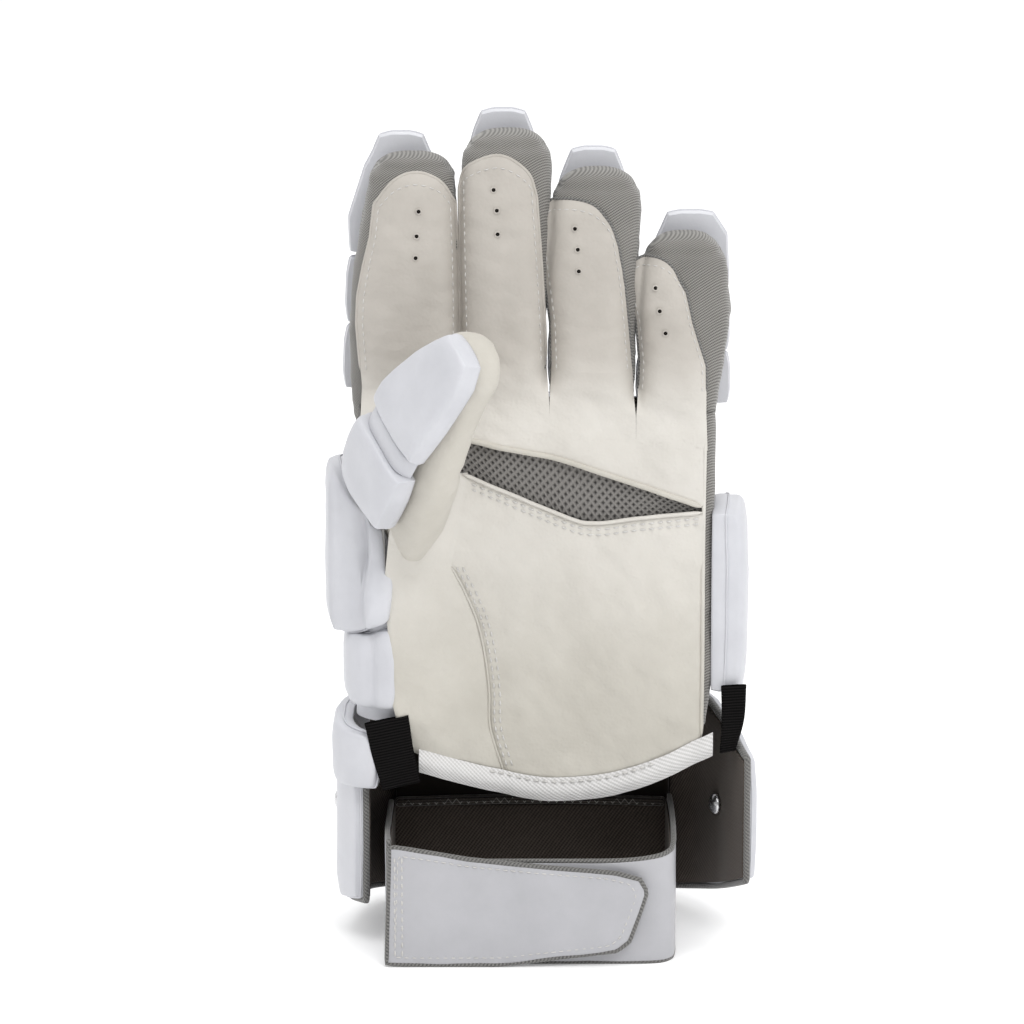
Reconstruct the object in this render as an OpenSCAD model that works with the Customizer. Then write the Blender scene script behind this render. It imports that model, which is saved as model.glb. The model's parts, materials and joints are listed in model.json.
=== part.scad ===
// Left-hand padded sports glove, standing on its cuff.
// Frame: +Z to the fingertips, the palm faces -Y, the thumb is on the -X side, millimetres.
// The origin is on the floor, under the middle of the glove's box.

/* [Hand] */
// Y of the middle plane of the hand
mid_y = 16; // [14:0.5:18]
// X of the outer edge of the index finger at its knuckle
index_edge_x = -73.5; // [-76:0.5:-72]
// X of the little-finger edge of the palm leather
palm_edge_x = 64; // [62:0.5:65]
// Depth of the space for the hand, palm leather to back lining
hand_depth = 33; // [30:1:36]
// Height of the wrist end of the palm at its sides
palm_bottom_z = 78; // [76:1:80]
// Thickness of the leather and lining panels
leather = 1.6; // [1.2:0.2:2]
// Thickness of the foam pads on the back of the hand
back_pad_t = 15; // [12:1:16]

/* [Fingers] */
// Widths of the fingers at the knuckle, index to little
finger_w = [41, 31.5, 32, 31]; // [28:0.5:42]
// Widths of the fingers at the tip, index to little
finger_tip_w = [35, 31.5, 32, 29]; // [28:0.5:36]
// Sideways lean of the fingertips, index to little
finger_lean = [1.5, 1.5, 1.5, 4]; // [0:0.5:5]
// Gap between neighbouring fingers
finger_gap = 2; // [1.4:0.2:2.4]
// Heights of the knuckle breaks, index to little
knuckle_z = [217, 219, 217, 211]; // [208:1:220]
// Heights of the middle breaks, index to little
middle_z = [243, 248, 243, 232]; // [230:1:250]
// Heights of the breaks below the fingertip pads, index to little
end_z = [270, 278, 268, 252]; // [250:1:280]
// Heights of the fingertip pads, index to little
tip_z = [318, 327, 312, 287]; // [284:1:330]
// Depth of the space for a finger
finger_depth = 23.4; // [22:0.2:25]
// Thickness of the foam pads on the fingers
finger_pad_t = 13; // [10:1:14]

/* [Thumb] */
// Width of the thumb at its middle break
thumb_w = 31; // [29:0.5:33]
// Width of the thumb at its tip
thumb_tip_w = 29; // [27:0.5:31]
// Thickness of the thumb's pads
thumb_pad_t = 11; // [9:1:12]
// Depth of the space for the thumb
thumb_depth = 15; // [14:0.5:17]
// Length of the thumb from its middle break to its tip
thumb_tip_l = 52; // [48:1:56]
// Length of the thumb's middle
thumb_middle_l = 40; // [36:1:42]
// Bend of the thumb at its middle break
thumb_bend = 15.5; // [12:0.5:18]

/* [Cuff] */
// Height of the cuff's back wall
cuff_h = 100; // [96:1:102]
// Thickness of the cuff's padded walls
cuff_t = 7; // [6:0.5:8]
// Thickness of the foam lining in the cuff
cuff_foam_t = 11.5; // [10:0.5:12]
// Inside face of the cuff's back wall, behind the middle plane
cuff_inner_y = 40; // [39:1:41]
// Height of the strap around the wrist
strap_h = 44; // [40:1:46]
// X of the strap's thumb-side end
strap_left_x = -60; // [-61:0.5:-58]
// X of the strap's little-finger-side end
strap_right_x = 53; // [51:0.5:54]
// Thickness of the strap
strap_t = 2; // [1.6:0.2:2.4]

/* [Hidden] */
FINGERS = ["index", "middle", "ring", "little"];

// Clearance between pieces that lie against each other, and at the breaks of moving pieces
fit = 0.3;
break_gap = 0.8;
wall = 1.5;             // mesh gusset walls
pad_bevel = 4;          // bevel round the outer face of a pad

palm_y = mid_y - 20;                        // outer face of the palm leather
liner_y = palm_y + leather + hand_depth;    // inner face of the back lining
back_y = liner_y + leather + fit;           // inner face of the backhand plate
back_pad_y = back_y + leather + fit;        // inner face of the backhand pads
finger_back_y = palm_y + leather + finger_depth;
cuff_y = mid_y + cuff_inner_y;
strap_front_y = mid_y - 47;                 // outer face of the strap under the tab
cuff_foam_y = cuff_y - leather - 3 * fit - cuff_foam_t;
strap_back_y = cuff_foam_y - leather - 2 * fit;
patch_t = 1;                                // hook and loop patches
palm_bottom_mid = [9, palm_bottom_z - 15];  // lowest point of the palm's curved edge
index_side_x = -66;                         // hand's wall on the index side
seam_r = 3;                                 // bead along the wrist liner's top edge

// The thumb has a frame of its own: +Z runs to its tip and +Y out through its pads
thumb_at = [-49.5, palm_y - 29, 212];       // middle of the thumb at its middle break
thumb_turn = [12.4, -36, 121.3];
thumb_y0 = -(2 * leather + thumb_depth + thumb_pad_t + 2 * fit) / 2;
thumb_back_y = thumb_y0 + 2 * leather + thumb_depth;
base_opening = 10;                          // room for the thumb's base to open, degrees
// The palm leather's seam with the thumb panel, from the thumb's crotch to the wrist
crotch = [-28, 185];
seam = [[-34, 152], [-24, 137], [-19, 118], [-17, 99], [-16, 81], [-13, 70]];
mesh_right = [61, 173];

function finger_left(i) = i == 0 ? index_edge_x : finger_left(i - 1) + finger_w[i - 1] + finger_gap;
// Middle and half width of finger i at height z
function finger_mid(i, z) = finger_left(i) + finger_w[i] / 2
    + finger_lean[i] * (z - knuckle_z[i]) / (tip_z[i] - knuckle_z[i]);
function finger_half(i, z) = (finger_w[i]
    + (finger_tip_w[i] - finger_w[i]) * (z - knuckle_z[i]) / (tip_z[i] - knuckle_z[i])) / 2;
function on_finger(i, side, z, inset = 0) =
    [finger_mid(i, z) + side * (finger_half(i, z) - inset), z];

// A prism of a front-view outline [x, z], from y to y + t
module front_slab(points, y, t)
    translate([0, y + t, 0]) rotate([90, 0, 0]) linear_extrude(t) polygon(points);

// A foam pad: an outline with its outer face bevelled, towards +Y (dir 1) or -Y (dir -1)
module pad(points, y, t, bevel = pad_bevel, dir = 1)
    hull() {
        front_slab(points, dir > 0 ? y : y + bevel, t - bevel);
        translate([0, y + t, 0]) rotate([90, 0, 0]) linear_extrude(t)
            offset(delta = -bevel) polygon(points);
    }

// A thin wall along a line a-b of the front view, standing from y to y + t
module side_wall(a, b, thickness, y, t) {
    along = (b - a) / norm(b - a);
    across = [along[1], -along[0]] * thickness;
    front_slab([a, b, b + across, a + across], y, t);
}

// A prism of a plan outline [x, y], from z0 to z1
module plan_slab(points, z0, z1)
    translate([0, 0, z0]) linear_extrude(z1 - z0) polygon(points);

module box(low, high)
    translate(low) cube(high - low);

// ---- Fingers ----

module finger_pad(i, z0, z1, grow = 0)
    color("white") pad([on_finger(i, -1, z0, -grow), on_finger(i, 1, z0, -grow),
        on_finger(i, 1, z1, -grow), on_finger(i, -1, z1, -grow)], finger_back_y + fit, finger_pad_t);

module finger_tip_pad(i) {
    shoulder = 16;
    top = 9;
    z1 = tip_z[i];
    color("white") pad([on_finger(i, -1, end_z[i] + break_gap / 2), on_finger(i, 1, end_z[i] + break_gap / 2),
        on_finger(i, 1, z1 - shoulder), [finger_mid(i, z1) + top, z1],
        [finger_mid(i, z1) - top, z1], on_finger(i, -1, z1 - shoulder)],
        finger_back_y + fit, finger_pad_t);
}

// Leather of the finger's palm side, with a round end when z1 is the fingertip
module finger_strip(i, z0, z1, round_end = false) {
    r = finger_half(i, z1) - 1;
    color("linen") front_slab(round_end
        ? [on_finger(i, -1, z0), on_finger(i, 1, z0),
           for (a = [0:15:180]) [finger_mid(i, z1 - r) + r * cos(a), z1 - r + r * sin(a)]]
        : [on_finger(i, -1, z0), on_finger(i, 1, z0), on_finger(i, 1, z1), on_finger(i, -1, z1)],
        palm_y, leather);
}

module finger_gusset(i, z0, z1)
    color("gray") {
        y = palm_y + leather + fit;
        deep = finger_depth - fit;
        side_wall(on_finger(i, -1, z0), on_finger(i, -1, z1), wall, y, deep);
        side_wall(on_finger(i, 1, z1), on_finger(i, 1, z0), wall, y, deep);
    }

module finger_end_gusset(i) {
    end_h = 3;
    z1 = tip_z[i] - 8;
    finger_gusset(i, middle_z[i] + break_gap / 2, z1 - end_h - fit);
    color("gray") front_slab([on_finger(i, -1, z1 - end_h), on_finger(i, 1, z1 - end_h),
        on_finger(i, 1, z1, 4), on_finger(i, -1, z1, 4)],
        palm_y + leather + fit, finger_depth - fit);
}

module finger_node(i, part) {
    low = knuckle_z[i] + break_gap / 2;
    mid = middle_z[i] + break_gap / 2;
    if (part == "_lower_pad") finger_pad(i, low, middle_z[i] - break_gap / 2);
    if (part == "_lower_strip") finger_strip(i, low, middle_z[i] - break_gap / 2);
    if (part == "_lower_gusset") finger_gusset(i, low, middle_z[i] - break_gap / 2);
    if (part == "_middle_pad") finger_pad(i, mid, end_z[i] - break_gap / 2);
    if (part == "_tip_pad") finger_tip_pad(i);
    if (part == "_upper_strip") finger_strip(i, mid, tip_z[i] - 14, true);
    if (part == "_upper_gusset") finger_end_gusset(i);
}

// ---- Palm ----

module palm_upper()
    color("linen") front_slab([
        [index_side_x - 4, knuckle_z[0] - break_gap / 2],
        [finger_left(1) - finger_gap, knuckle_z[0] - break_gap / 2],
        [finger_left(1) - finger_gap, knuckle_z[1] - break_gap / 2],
        [finger_left(2), knuckle_z[1] - break_gap / 2],
        [finger_left(2), knuckle_z[2] - break_gap / 2],
        [finger_left(3), knuckle_z[2] - break_gap / 2],
        [finger_left(3), knuckle_z[3] - break_gap / 2],
        [palm_edge_x, knuckle_z[3] - break_gap / 2],
        [palm_edge_x, mesh_right[1] + fit], crotch + [7, 16], crotch + [0, fit],
        crotch + [-9, 27], [index_side_x - 4, 213]], palm_y, leather);

module palm_lower()
    color("linen") front_slab(concat([crotch - [0, fit], [19, 168], mesh_right - [0, 1],
        [palm_edge_x, mesh_right[1] - fit], [palm_edge_x, palm_bottom_z + 2],
        palm_bottom_mid + [28, 5], palm_bottom_mid + [0, 1]],
        [for (k = [len(seam) - 1:-1:0]) seam[k] + [fit, 0]]), palm_y, leather);

// Mesh window between the two palm leathers, behind them
module palm_mesh()
    color("gray") front_slab([[-33, 184], [-24, 205], [palm_edge_x - 1, 178], [palm_edge_x - 1, 166], [19, 162]],
        palm_y + leather + fit, 1);

// Leather over the ball of the thumb: it rises forward from the palm seam
module thumb_base_panel() {
    rise = 17;
    hinge = [seam[3][0] - fit, palm_y];
    color("linen") difference() {
        translate([hinge[0], hinge[1], 0]) rotate([0, 0, rise]) translate([-hinge[0], -hinge[1], 0])
            front_slab(concat([[-56, 172], crotch - [2, 3]], [for (p = seam) p - [fit, 0]], [[-46, 75], [-52, 98],
                [-57, 132]]), palm_y, leather);
        thumb_room();
    }
}

// Elastic binding that closes the palm's wrist edge
module wrist_binding()
    color("white") front_slab([[-45, palm_bottom_z - 6], [-20, 64], palm_bottom_mid - [0, 2],
        [37, 65], [palm_edge_x, palm_bottom_z + 1.5], [palm_edge_x, palm_bottom_z - 5],
        [38, 59], palm_bottom_mid - [0, 9], [-20, 57], [-45, palm_bottom_z - 12]], palm_y - 1, 4);

// ---- Sides and back of the hand ----

module hand_side_gussets()
    color("gray") {
        box([palm_edge_x + fit, palm_y + leather, palm_bottom_z + 4],
            [palm_edge_x + fit + wall, liner_y - fit, knuckle_z[3] - 2]);
        box([index_side_x - 4, palm_y + leather + fit, 194],
            [index_side_x - 4 + wall, liner_y - fit, knuckle_z[0] - 2]);
    }

// Long pad down the little-finger edge of the hand
module side_roll()
    color("white") hull() {
        box([palm_edge_x + 3, palm_y + 1, 100], [palm_edge_x + 12, liner_y, 174]);
        box([palm_edge_x + 3, palm_y + 4, 97], [palm_edge_x + 16, liner_y - 4, 178]);
    }

module backhand_lining()
    color("dimgray") front_slab([[-66, 130], [-66, knuckle_z[0] - 2], [palm_edge_x, knuckle_z[3] - 2],
        [palm_edge_x, palm_bottom_z], [-50, palm_bottom_z]], liner_y, leather);

// Plastic plate between the lining and the foam
module backhand_plate()
    color("silver") front_slab([[-52, 110], [-52, 180], [52, 180], [52, 104], [-42, 104]], back_y, leather);

module back_pad(x0, x1, z0, z1, extra = 0)
    color("white") pad([[x0, z0], [x1, z0 - extra], [x1 + 2, z1 - extra], [x0, z1]], back_pad_y, back_pad_t, 6);

// Row of padding over the knuckles, stepped down to the little finger
module knuckle_roll()
    color("white") pad([[-70, 187], [66, 182], [67, knuckle_z[3] - 1], [40, knuckle_z[2] - 1],
        [-70, knuckle_z[0] - 1]], back_pad_y, back_pad_t - 4, 5);

// ---- Thumb ----

// All the room that the thumb's middle takes as it opens, with everything above it
module thumb_room(open = base_opening, clear = 1)
    in_thumb_frame() bent()
        translate([0, thumb_y0, -thumb_middle_l - clear]) rotate([-open, 0, 0])
            translate([-60, -60, 0]) cube([120, 160, 120]);

module thumb_base_pad_upper()
    color("white") difference() {
        front_slab([[-58.5, 130], [-58.5, 180], [-66, 190], [-78, 188], [-82.5, 152], [-76, 128.5]],
            palm_y - 12, liner_y - palm_y + 8);
        thumb_room();
    }

module thumb_base_pad_lower()
    color("white") front_slab([[-59, 129], [-75.5, 127.5], [-66.5, 98], [-53, 100]],
        palm_y - 10, liner_y - palm_y + 4);

module in_thumb_frame()
    translate(thumb_at) rotate(thumb_turn) children();

// Bends a piece of the thumb's middle back about the leather side of the middle break
module bent(angle = -thumb_bend)
    translate([0, thumb_y0, 0]) rotate([angle, 0, 0]) translate([0, -thumb_y0, 0]) children();

function thumb_half(z) = (thumb_w + (thumb_tip_w - thumb_w) * max(z, 0) / thumb_tip_l) / 2;
function on_thumb(side, z, inset = 0) = [side * (thumb_half(z) - inset), z];

module thumb_middle_pad()
    color("white") in_thumb_frame() bent()
        pad([on_thumb(-1, -thumb_middle_l), on_thumb(1, -thumb_middle_l), on_thumb(1, -break_gap), on_thumb(-1, -break_gap)],
            thumb_back_y + 2 * fit, thumb_pad_t);

// Leather tube of the thumb's middle, open at both ends
module thumb_middle_sleeve()
    color("linen") in_thumb_frame() bent() translate([0, 0, -thumb_middle_l]) linear_extrude(thumb_middle_l - break_gap)
        sleeve_section();

module sleeve_section()
    difference() {
        translate([-thumb_w / 2, thumb_y0]) square([thumb_w, thumb_depth + 2 * leather]);
        translate([-thumb_w / 2 + leather, thumb_y0 + leather]) square([thumb_w - 2 * leather, thumb_depth]);
    }

module thumb_tip_pad()
    color("white") in_thumb_frame() pad([on_thumb(-1, break_gap), on_thumb(1, break_gap),
        on_thumb(1, thumb_tip_l - 13), [7, thumb_tip_l], [-9, thumb_tip_l], on_thumb(-1, thumb_tip_l - 13)],
        thumb_back_y + 2 * fit, thumb_pad_t);

// Leather tube of the thumb's end, closed by a round tip
module thumb_tip_sleeve()
    color("linen") in_thumb_frame() {
        translate([0, 0, break_gap]) linear_extrude(thumb_tip_l - 10 - break_gap) sleeve_section();
        translate([0, thumb_y0, thumb_tip_l - 10]) rotate([-90, 0, 0]) linear_extrude(thumb_depth + 2 * leather)
            polygon([[-thumb_w / 2, 0], [thumb_w / 2, 0], [thumb_w / 2 - 4, -6], [-thumb_w / 2 + 4, -6]]);
    }

// Moulded guard inside the thumb's end
module thumb_guard()
    color("silver") in_thumb_frame() translate([-11, thumb_back_y - leather - 1.5, 8]) cube([22, 1.2, 30]);

// ---- Cuff ----

module cuff_back()
    color("white") hull() {
        box([-56, cuff_y, 0], [50, cuff_y + 1, cuff_h]);
        box([-50, cuff_y, 0], [44, cuff_y + cuff_t, cuff_h - 6]);
    }

// Side outline of both wings, [y, z], cut across a plan outline
module wing(plan, side)
    intersection() {
        plan_slab(plan, 0, cuff_h);
        translate([-100, 0, 0]) rotate([90, 0, 90]) linear_extrude(200) polygon(side);
    }

// Thumb-side wing: it curls forward round the wrist
module cuff_wing_left()
    color("white") difference() {
        wing([[-57, cuff_y + 1], [-74, cuff_y - 16], [-80, cuff_y - 46], [-71, cuff_y - 67], [-66, cuff_y - 64],
            [-74, cuff_y - 44], [-68, cuff_y - 18], [-57, cuff_y - 5]],
            [[cuff_y + 2, 6], [cuff_y + 2, 95], [cuff_y - 30, 90], [cuff_y - 68, 78], [cuff_y - 68, 18]]);
        translate([rivet_left[0], rivet_left[1], rivet_z]) rotate([0, 90, rivet_turn_left])
            cylinder(h = 40, r = rivet_r, center = true, $fn = 48);
    }

// Little-finger-side wing: it flares forward and outward
module cuff_wing_right()
    color("white") difference() {
        wing([[51.5, cuff_y + 1], [70, cuff_y - 10], [86, cuff_y - 66], [79, cuff_y - 68], [68, cuff_y - 23],
            [51.5, cuff_y - 8]],
            [[cuff_y + 2, 6], [cuff_y + 2, 95], [cuff_y - 30, 90], [cuff_y - 70, 78], [cuff_y - 70, 26]]);
        translate([rivet_right[0], rivet_right[1], rivet_z]) rotate([0, 90, rivet_turn_right])
            cylinder(h = 40, r = rivet_r, center = true, $fn = 48);
    }

// Foam lining of the cuff's back wall
module cuff_lining()
    color("dimgray") box([-54, cuff_foam_y, 6], [48, cuff_foam_y + cuff_foam_t, 84]);

module cuff_insert()
    color("silver") box([-46, cuff_y - leather - fit, 14], [40, cuff_y - fit, 84]);

// Rivets through the wings: a shank with a domed head inside and a flat head outside
rivet_r = 2;
rivet_z = 50;
rivet_left = [-74, cuff_y - 31];
rivet_turn_left = -12;
rivet_right = [74.4, cuff_y - 36];
rivet_turn_right = 15;
wing_half_t = 3.6;
module rivet(place, turn, t)
    translate([place[0], place[1], rivet_z]) rotate([0, 0, turn]) rotate([0, 90, 0]) {
        cylinder(h = 2 * t, r = rivet_r - 0.05, center = true, $fn = 48);
        for (side = [-1, 1])
            translate([0, 0, side * (t + 0.6)]) cylinder(h = 1.2, r = 4, center = true, $fn = 48);
    }

module cuff_rivets()
    color("silver") {
        rivet(rivet_left, rivet_turn_left, wing_half_t);
        rivet(rivet_right, rivet_turn_right, wing_half_t);
    }

// Strap round the wrist: the thumb side carries the tab, the other side runs under it
module strap_left()
    color("white") box([strap_left_x, strap_front_y, 0], [strap_left_x + strap_t, strap_back_y, strap_h]);

module strap_right()
    color("white") plan_slab([[strap_right_x, strap_back_y], [strap_right_x, strap_front_y], [-30, strap_front_y],
        [-30, strap_front_y + strap_t], [strap_right_x - strap_t, strap_front_y + strap_t],
        [strap_right_x - strap_t, strap_back_y]], 0, strap_h - 2);

module wrist_liner()
    color("dimgray") {
        box([strap_left_x, strap_back_y + fit, 0], [strap_right_x, strap_back_y + fit + leather, strap_h - seam_r]);
    }

module loop_patch()
    color("dimgray") box([-24, strap_front_y - patch_t - fit / 2, 8], [40, strap_front_y - fit / 2, strap_h - 10]);

module strap_tab()
    color("white") front_slab([[strap_left_x + 1, 4], [28, 4], [40, 22], [42, 30], [38, 36], [strap_left_x + 1, strap_h]],
        strap_front_y - 2 * patch_t - fit - strap_t, strap_t);

module hook_patch()
    color("dimgray") box([4, strap_front_y - 2 * patch_t - fit, 9], [30, strap_front_y - patch_t - fit, 31]);

// ---- Elastic straps between the palm's wrist corners and the cuff ----

module elastic_straps()
    color("black") {
        front_slab([[-58, 96.5], [-47, 97.5], [-44, 78], [-55, 76]], palm_y - 4, leather);
        front_slab([[palm_edge_x + 4, 84], [palm_edge_x + 5, 94], [76, 95], [74, 82]], palm_y - 2, leather);
    }

palm_upper();
palm_lower();
palm_mesh();
thumb_base_panel();
wrist_binding();
hand_side_gussets();
side_roll();
backhand_lining();
backhand_plate();
knuckle_roll();
back_pad(-62, 62, 146, 180, 4);  // backhand_pad_upper
back_pad(-54, 62, 106, 143, 4);  // backhand_pad_lower
thumb_base_pad_upper();
thumb_base_pad_lower();
elastic_straps();
for (i = [0:3])
    for (part = ["_lower_pad", "_lower_strip", "_lower_gusset", "_middle_pad", "_tip_pad", "_upper_strip",
            "_upper_gusset"])
        finger_node(i, part);
thumb_middle_pad();
thumb_middle_sleeve();
thumb_tip_pad();
thumb_tip_sleeve();
thumb_guard();
cuff_back();
cuff_wing_left();
cuff_wing_right();
cuff_lining();
cuff_insert();
cuff_rivets();
strap_left();
strap_right();
wrist_liner();
loop_patch();
strap_tab();
hook_patch();
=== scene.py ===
"""Padded left-hand glove, standing on its cuff with its palm to the camera (-Y).

Lengths are in millimetres until mesh() turns them into metres.
"""
import json
import math
import bmesh
import bpy
import numpy as np
from mathutils import Matrix, Vector, noise


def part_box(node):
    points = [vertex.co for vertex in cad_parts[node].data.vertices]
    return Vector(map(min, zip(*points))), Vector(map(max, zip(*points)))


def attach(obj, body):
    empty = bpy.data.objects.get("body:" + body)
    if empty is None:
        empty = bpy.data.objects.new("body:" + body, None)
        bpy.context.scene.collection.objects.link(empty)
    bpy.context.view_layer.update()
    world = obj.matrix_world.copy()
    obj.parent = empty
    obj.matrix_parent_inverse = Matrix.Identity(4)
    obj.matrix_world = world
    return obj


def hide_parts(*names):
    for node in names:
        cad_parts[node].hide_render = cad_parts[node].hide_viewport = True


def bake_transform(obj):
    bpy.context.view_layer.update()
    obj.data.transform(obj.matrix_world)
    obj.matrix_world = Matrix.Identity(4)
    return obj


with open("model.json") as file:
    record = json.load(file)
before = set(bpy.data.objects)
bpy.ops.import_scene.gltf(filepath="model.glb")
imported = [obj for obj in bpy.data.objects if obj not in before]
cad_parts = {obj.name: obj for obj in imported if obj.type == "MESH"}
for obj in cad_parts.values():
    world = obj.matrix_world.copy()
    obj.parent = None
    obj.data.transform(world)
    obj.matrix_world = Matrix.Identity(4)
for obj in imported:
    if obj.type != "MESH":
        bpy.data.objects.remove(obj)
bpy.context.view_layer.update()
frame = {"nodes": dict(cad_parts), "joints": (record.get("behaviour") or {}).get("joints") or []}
MM = 0.001
OUT_OF_PALM = np.array([0.0, -1.0, 0.0])
JOINTS = {j["name"]: j for j in frame["joints"]}


def joint_at(name):
    return np.array(JOINTS[name]["pos_m"]) / MM


def cad(node):
    lo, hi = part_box(node)
    return np.array(lo) / MM, np.array(hi) / MM


PALM_Y = cad("palm_lower")[0][1]
LINER_Y = cad("backhand_lining")[0][1]
BACK_Y = cad("backhand_pad_upper")[0][1]
FINGER_BACK_Y = cad("index_lower_pad")[0][1] - 0.3
CUFF_Y = cad("cuff_back")[0][1]
STRAP_FRONT_Y = cad("strap_right")[0][1]
STRAP_BACK_Y = cad("wrist_liner")[0][1]

# ---------------------------------------------------------------- small maths


def smooth(t):
    t = np.clip(t, 0.0, 1.0)
    return t * t * (3 - 2 * t)


def circle(n):
    """n angles evenly round a circle."""
    return np.linspace(0, 2 * math.pi, n, endpoint=False)


def hump(x, middle, width):
    return math.exp(-((x - middle) / width) ** 2)


def unit(v):
    v = np.asarray(v, float)
    return v / np.maximum(np.linalg.norm(v, axis=-1, keepdims=True), 1e-9)


def curve(points, n, closed=False):
    """n points evenly spaced along a smooth curve through points."""
    p = np.asarray(points, float)
    k = len(p)
    if closed:
        p = np.vstack([p[-1], p, p[0], p[1]])
    else:
        p = np.vstack([2 * p[0] - p[1], p, 2 * p[-1] - p[-2]])
    fine = []
    for i in range(1, (k if closed else k - 1) + 1):
        for t in np.linspace(0, 1, 24, endpoint=False):
            a, b, c, d = p[i - 1], p[i], p[i + 1], p[i + 2]
            fine.append(0.5 * (2 * b + (c - a) * t + (2 * a - 5 * b + 4 * c - d) * t**2
                               + (3 * b - a - 3 * c + d) * t**3))
    fine.append(p[1] if closed else p[-2])
    return resample(np.array(fine), n, closed)


def resample(p, n, closed=False):
    p = np.asarray(p, float)
    d = np.concatenate([[0], np.cumsum(np.linalg.norm(np.diff(p, axis=0), axis=1))])
    s = np.linspace(0, d[-1], n, endpoint=not closed)
    return np.stack([np.interp(s, d, p[:, i]) for i in range(p.shape[1])], 1)


def loop_of(p, n):
    """n points evenly spaced round a closed line through points."""
    return resample(np.vstack([p, p[:1]]), n, closed=True)


def wobble(p, size, amount, seed=0.0):
    """Smooth noise from -amount to amount, in a field of the given grain size."""
    q = Vector((p[0] / size + seed, p[1] / size - seed, p[2] / size + 2 * seed))
    return noise.noise(q) * amount


# ---------------------------------------------------------------- mesh makers


def collect(obj):
    bpy.context.scene.collection.objects.link(obj)
    return obj


def mesh(name, verts, faces, material, uvs=None, flip=False):
    """A smooth-shaded object from vertices in millimetres."""
    me = bpy.data.meshes.new(name)
    if flip:
        faces = [tuple(reversed(f)) for f in faces]
        uvs = uvs and [list(reversed(u)) for u in uvs]
    me.from_pydata((np.asarray(verts, float) * MM).tolist(), [], [tuple(int(i) for i in f) for f in faces])
    if uvs is not None:
        layer = me.uv_layers.new(name="UVMap")
        flat = [c for face in uvs for c in face]
        layer.data.foreach_set("uv", (np.array(flat, float) * MM).ravel())
    me.polygons.foreach_set("use_smooth", [True] * len(me.polygons))
    me.materials.append(material)
    me.validate()
    return collect(bpy.data.objects.new(name, me))


def grid(name, P, material, wrap=False, caps=(False, False), flip=False):
    """A surface over rows of points; wrap joins each row's ends, caps close the first and last row."""
    P = np.asarray(P, float)
    n, m = P.shape[:2]
    row = np.linalg.norm(np.diff(P, axis=1, append=P[:, :1] if wrap else P[:, -1:]), axis=2)
    u = np.concatenate([np.zeros((n, 1)), np.cumsum(row, axis=1)], axis=1)
    u = u - u[:, (m // 2):(m // 2) + 1]
    col = np.linalg.norm(np.diff(P, axis=0), axis=2).mean(1)
    v = np.concatenate([[0], np.cumsum(col)])
    faces, uvs = [], []
    for i in range(n - 1):
        for j in range(m if wrap else m - 1):
            k = (j + 1) % m
            faces.append((i * m + j, i * m + k, (i + 1) * m + k, (i + 1) * m + j))
            uvs.append([(u[i, j], v[i]), (u[i, j + 1], v[i]), (u[i + 1, j + 1], v[i + 1]), (u[i + 1, j], v[i + 1])])
    verts = P.reshape(-1, 3)
    for end, cap in ((0, caps[0]), (n - 1, caps[1])):
        if cap:
            c = len(verts)
            verts = np.vstack([verts, P[end].mean(0)])
            for j in range(m):
                k = (j + 1) % m
                a, b = end * m + j, end * m + k
                faces.append((b, a, c) if end == 0 else (a, b, c))
                uvs.append([(0, 0), (1, 0), (0, 1)])
    return mesh(name, verts, faces, material, uvs, flip)


def tube(name, path, radius, material, closed=False, sides=10):
    """A round bead along a path, with round ends."""
    p = np.asarray(path, float)
    n = len(p)
    t = unit(np.roll(p, -1, 0) - np.roll(p, 1, 0)) if closed else unit(np.gradient(p, axis=0))
    up = np.array([0.0, 0.0, 1.0]) if abs(t[0][2]) < 0.8 else np.array([0.0, 1.0, 0.0])
    rows = []
    side = unit(np.cross(t[0], up))
    for i in range(n):
        side = unit(side - (side @ t[i]) * t[i])
        over = np.cross(side, t[i])
        from_end = 2 if closed else min(i, n - 1 - i, 2)
        r = radius * (1 - (1 - from_end / 2) ** 2 * 0.75)
        a = circle(sides)[:, None]
        rows.append(p[i] + r * (np.cos(a) * side + np.sin(a) * over))
    return grid(name, rows + rows[:1] if closed else rows, material, wrap=True, caps=(not closed, not closed))


def stitches(path, pitch=3.4, length=2.3, r=0.42):
    """A row of thread stitches along a path on a surface that faces the camera's side (-Y)."""
    path = np.asarray(path, float)
    dist = np.concatenate([[0], np.cumsum(np.linalg.norm(np.diff(path, axis=0), axis=1))])
    count = max(int(dist[-1] / pitch), 1)
    rings, sides = 5, 6
    one = [(i * sides + j, i * sides + (j + 1) % sides, (i + 1) * sides + (j + 1) % sides, (i + 1) * sides + j)
           for i in range(rings - 1) for j in range(sides)]
    one += [tuple(reversed(range(sides))), tuple(range((rings - 1) * sides, rings * sides))]
    verts, faces = [], []
    for k in range(count):
        s = (k + 0.5) * dist[-1] / count
        start, stop = [np.array([np.interp(s + h, dist, path[:, i]) for i in range(3)])
                       for h in (-length / 2, length / 2)]
        side = unit(np.cross(unit(stop - start), OUT_OF_PALM))
        faces += [tuple(len(verts) + v for v in face) for face in one]
        for f in np.linspace(0, 1, rings):
            c = start * (1 - f) + stop * f + OUT_OF_PALM * (r * 0.9 * math.sin(math.pi * f) - r * 0.45)
            w = r * (0.45 + 0.55 * math.sin(math.pi * f))
            verts += [c + w * (math.cos(a) * side + math.sin(a) * OUT_OF_PALM) for a in circle(sides)]
    return mesh("stitches", verts, faces, THREAD)


def join(name, objs):
    """One object from several; the first keeps its materials and place."""
    bpy.ops.object.select_all(action="DESELECT")
    for o in objs:
        o.select_set(True)
    bpy.context.view_layer.objects.active = objs[0]
    bpy.ops.object.join()
    objs[0].name = name
    return objs[0]


def superpower(a, p):
    return np.sign(a) * np.abs(a) ** (2 / p)


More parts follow.
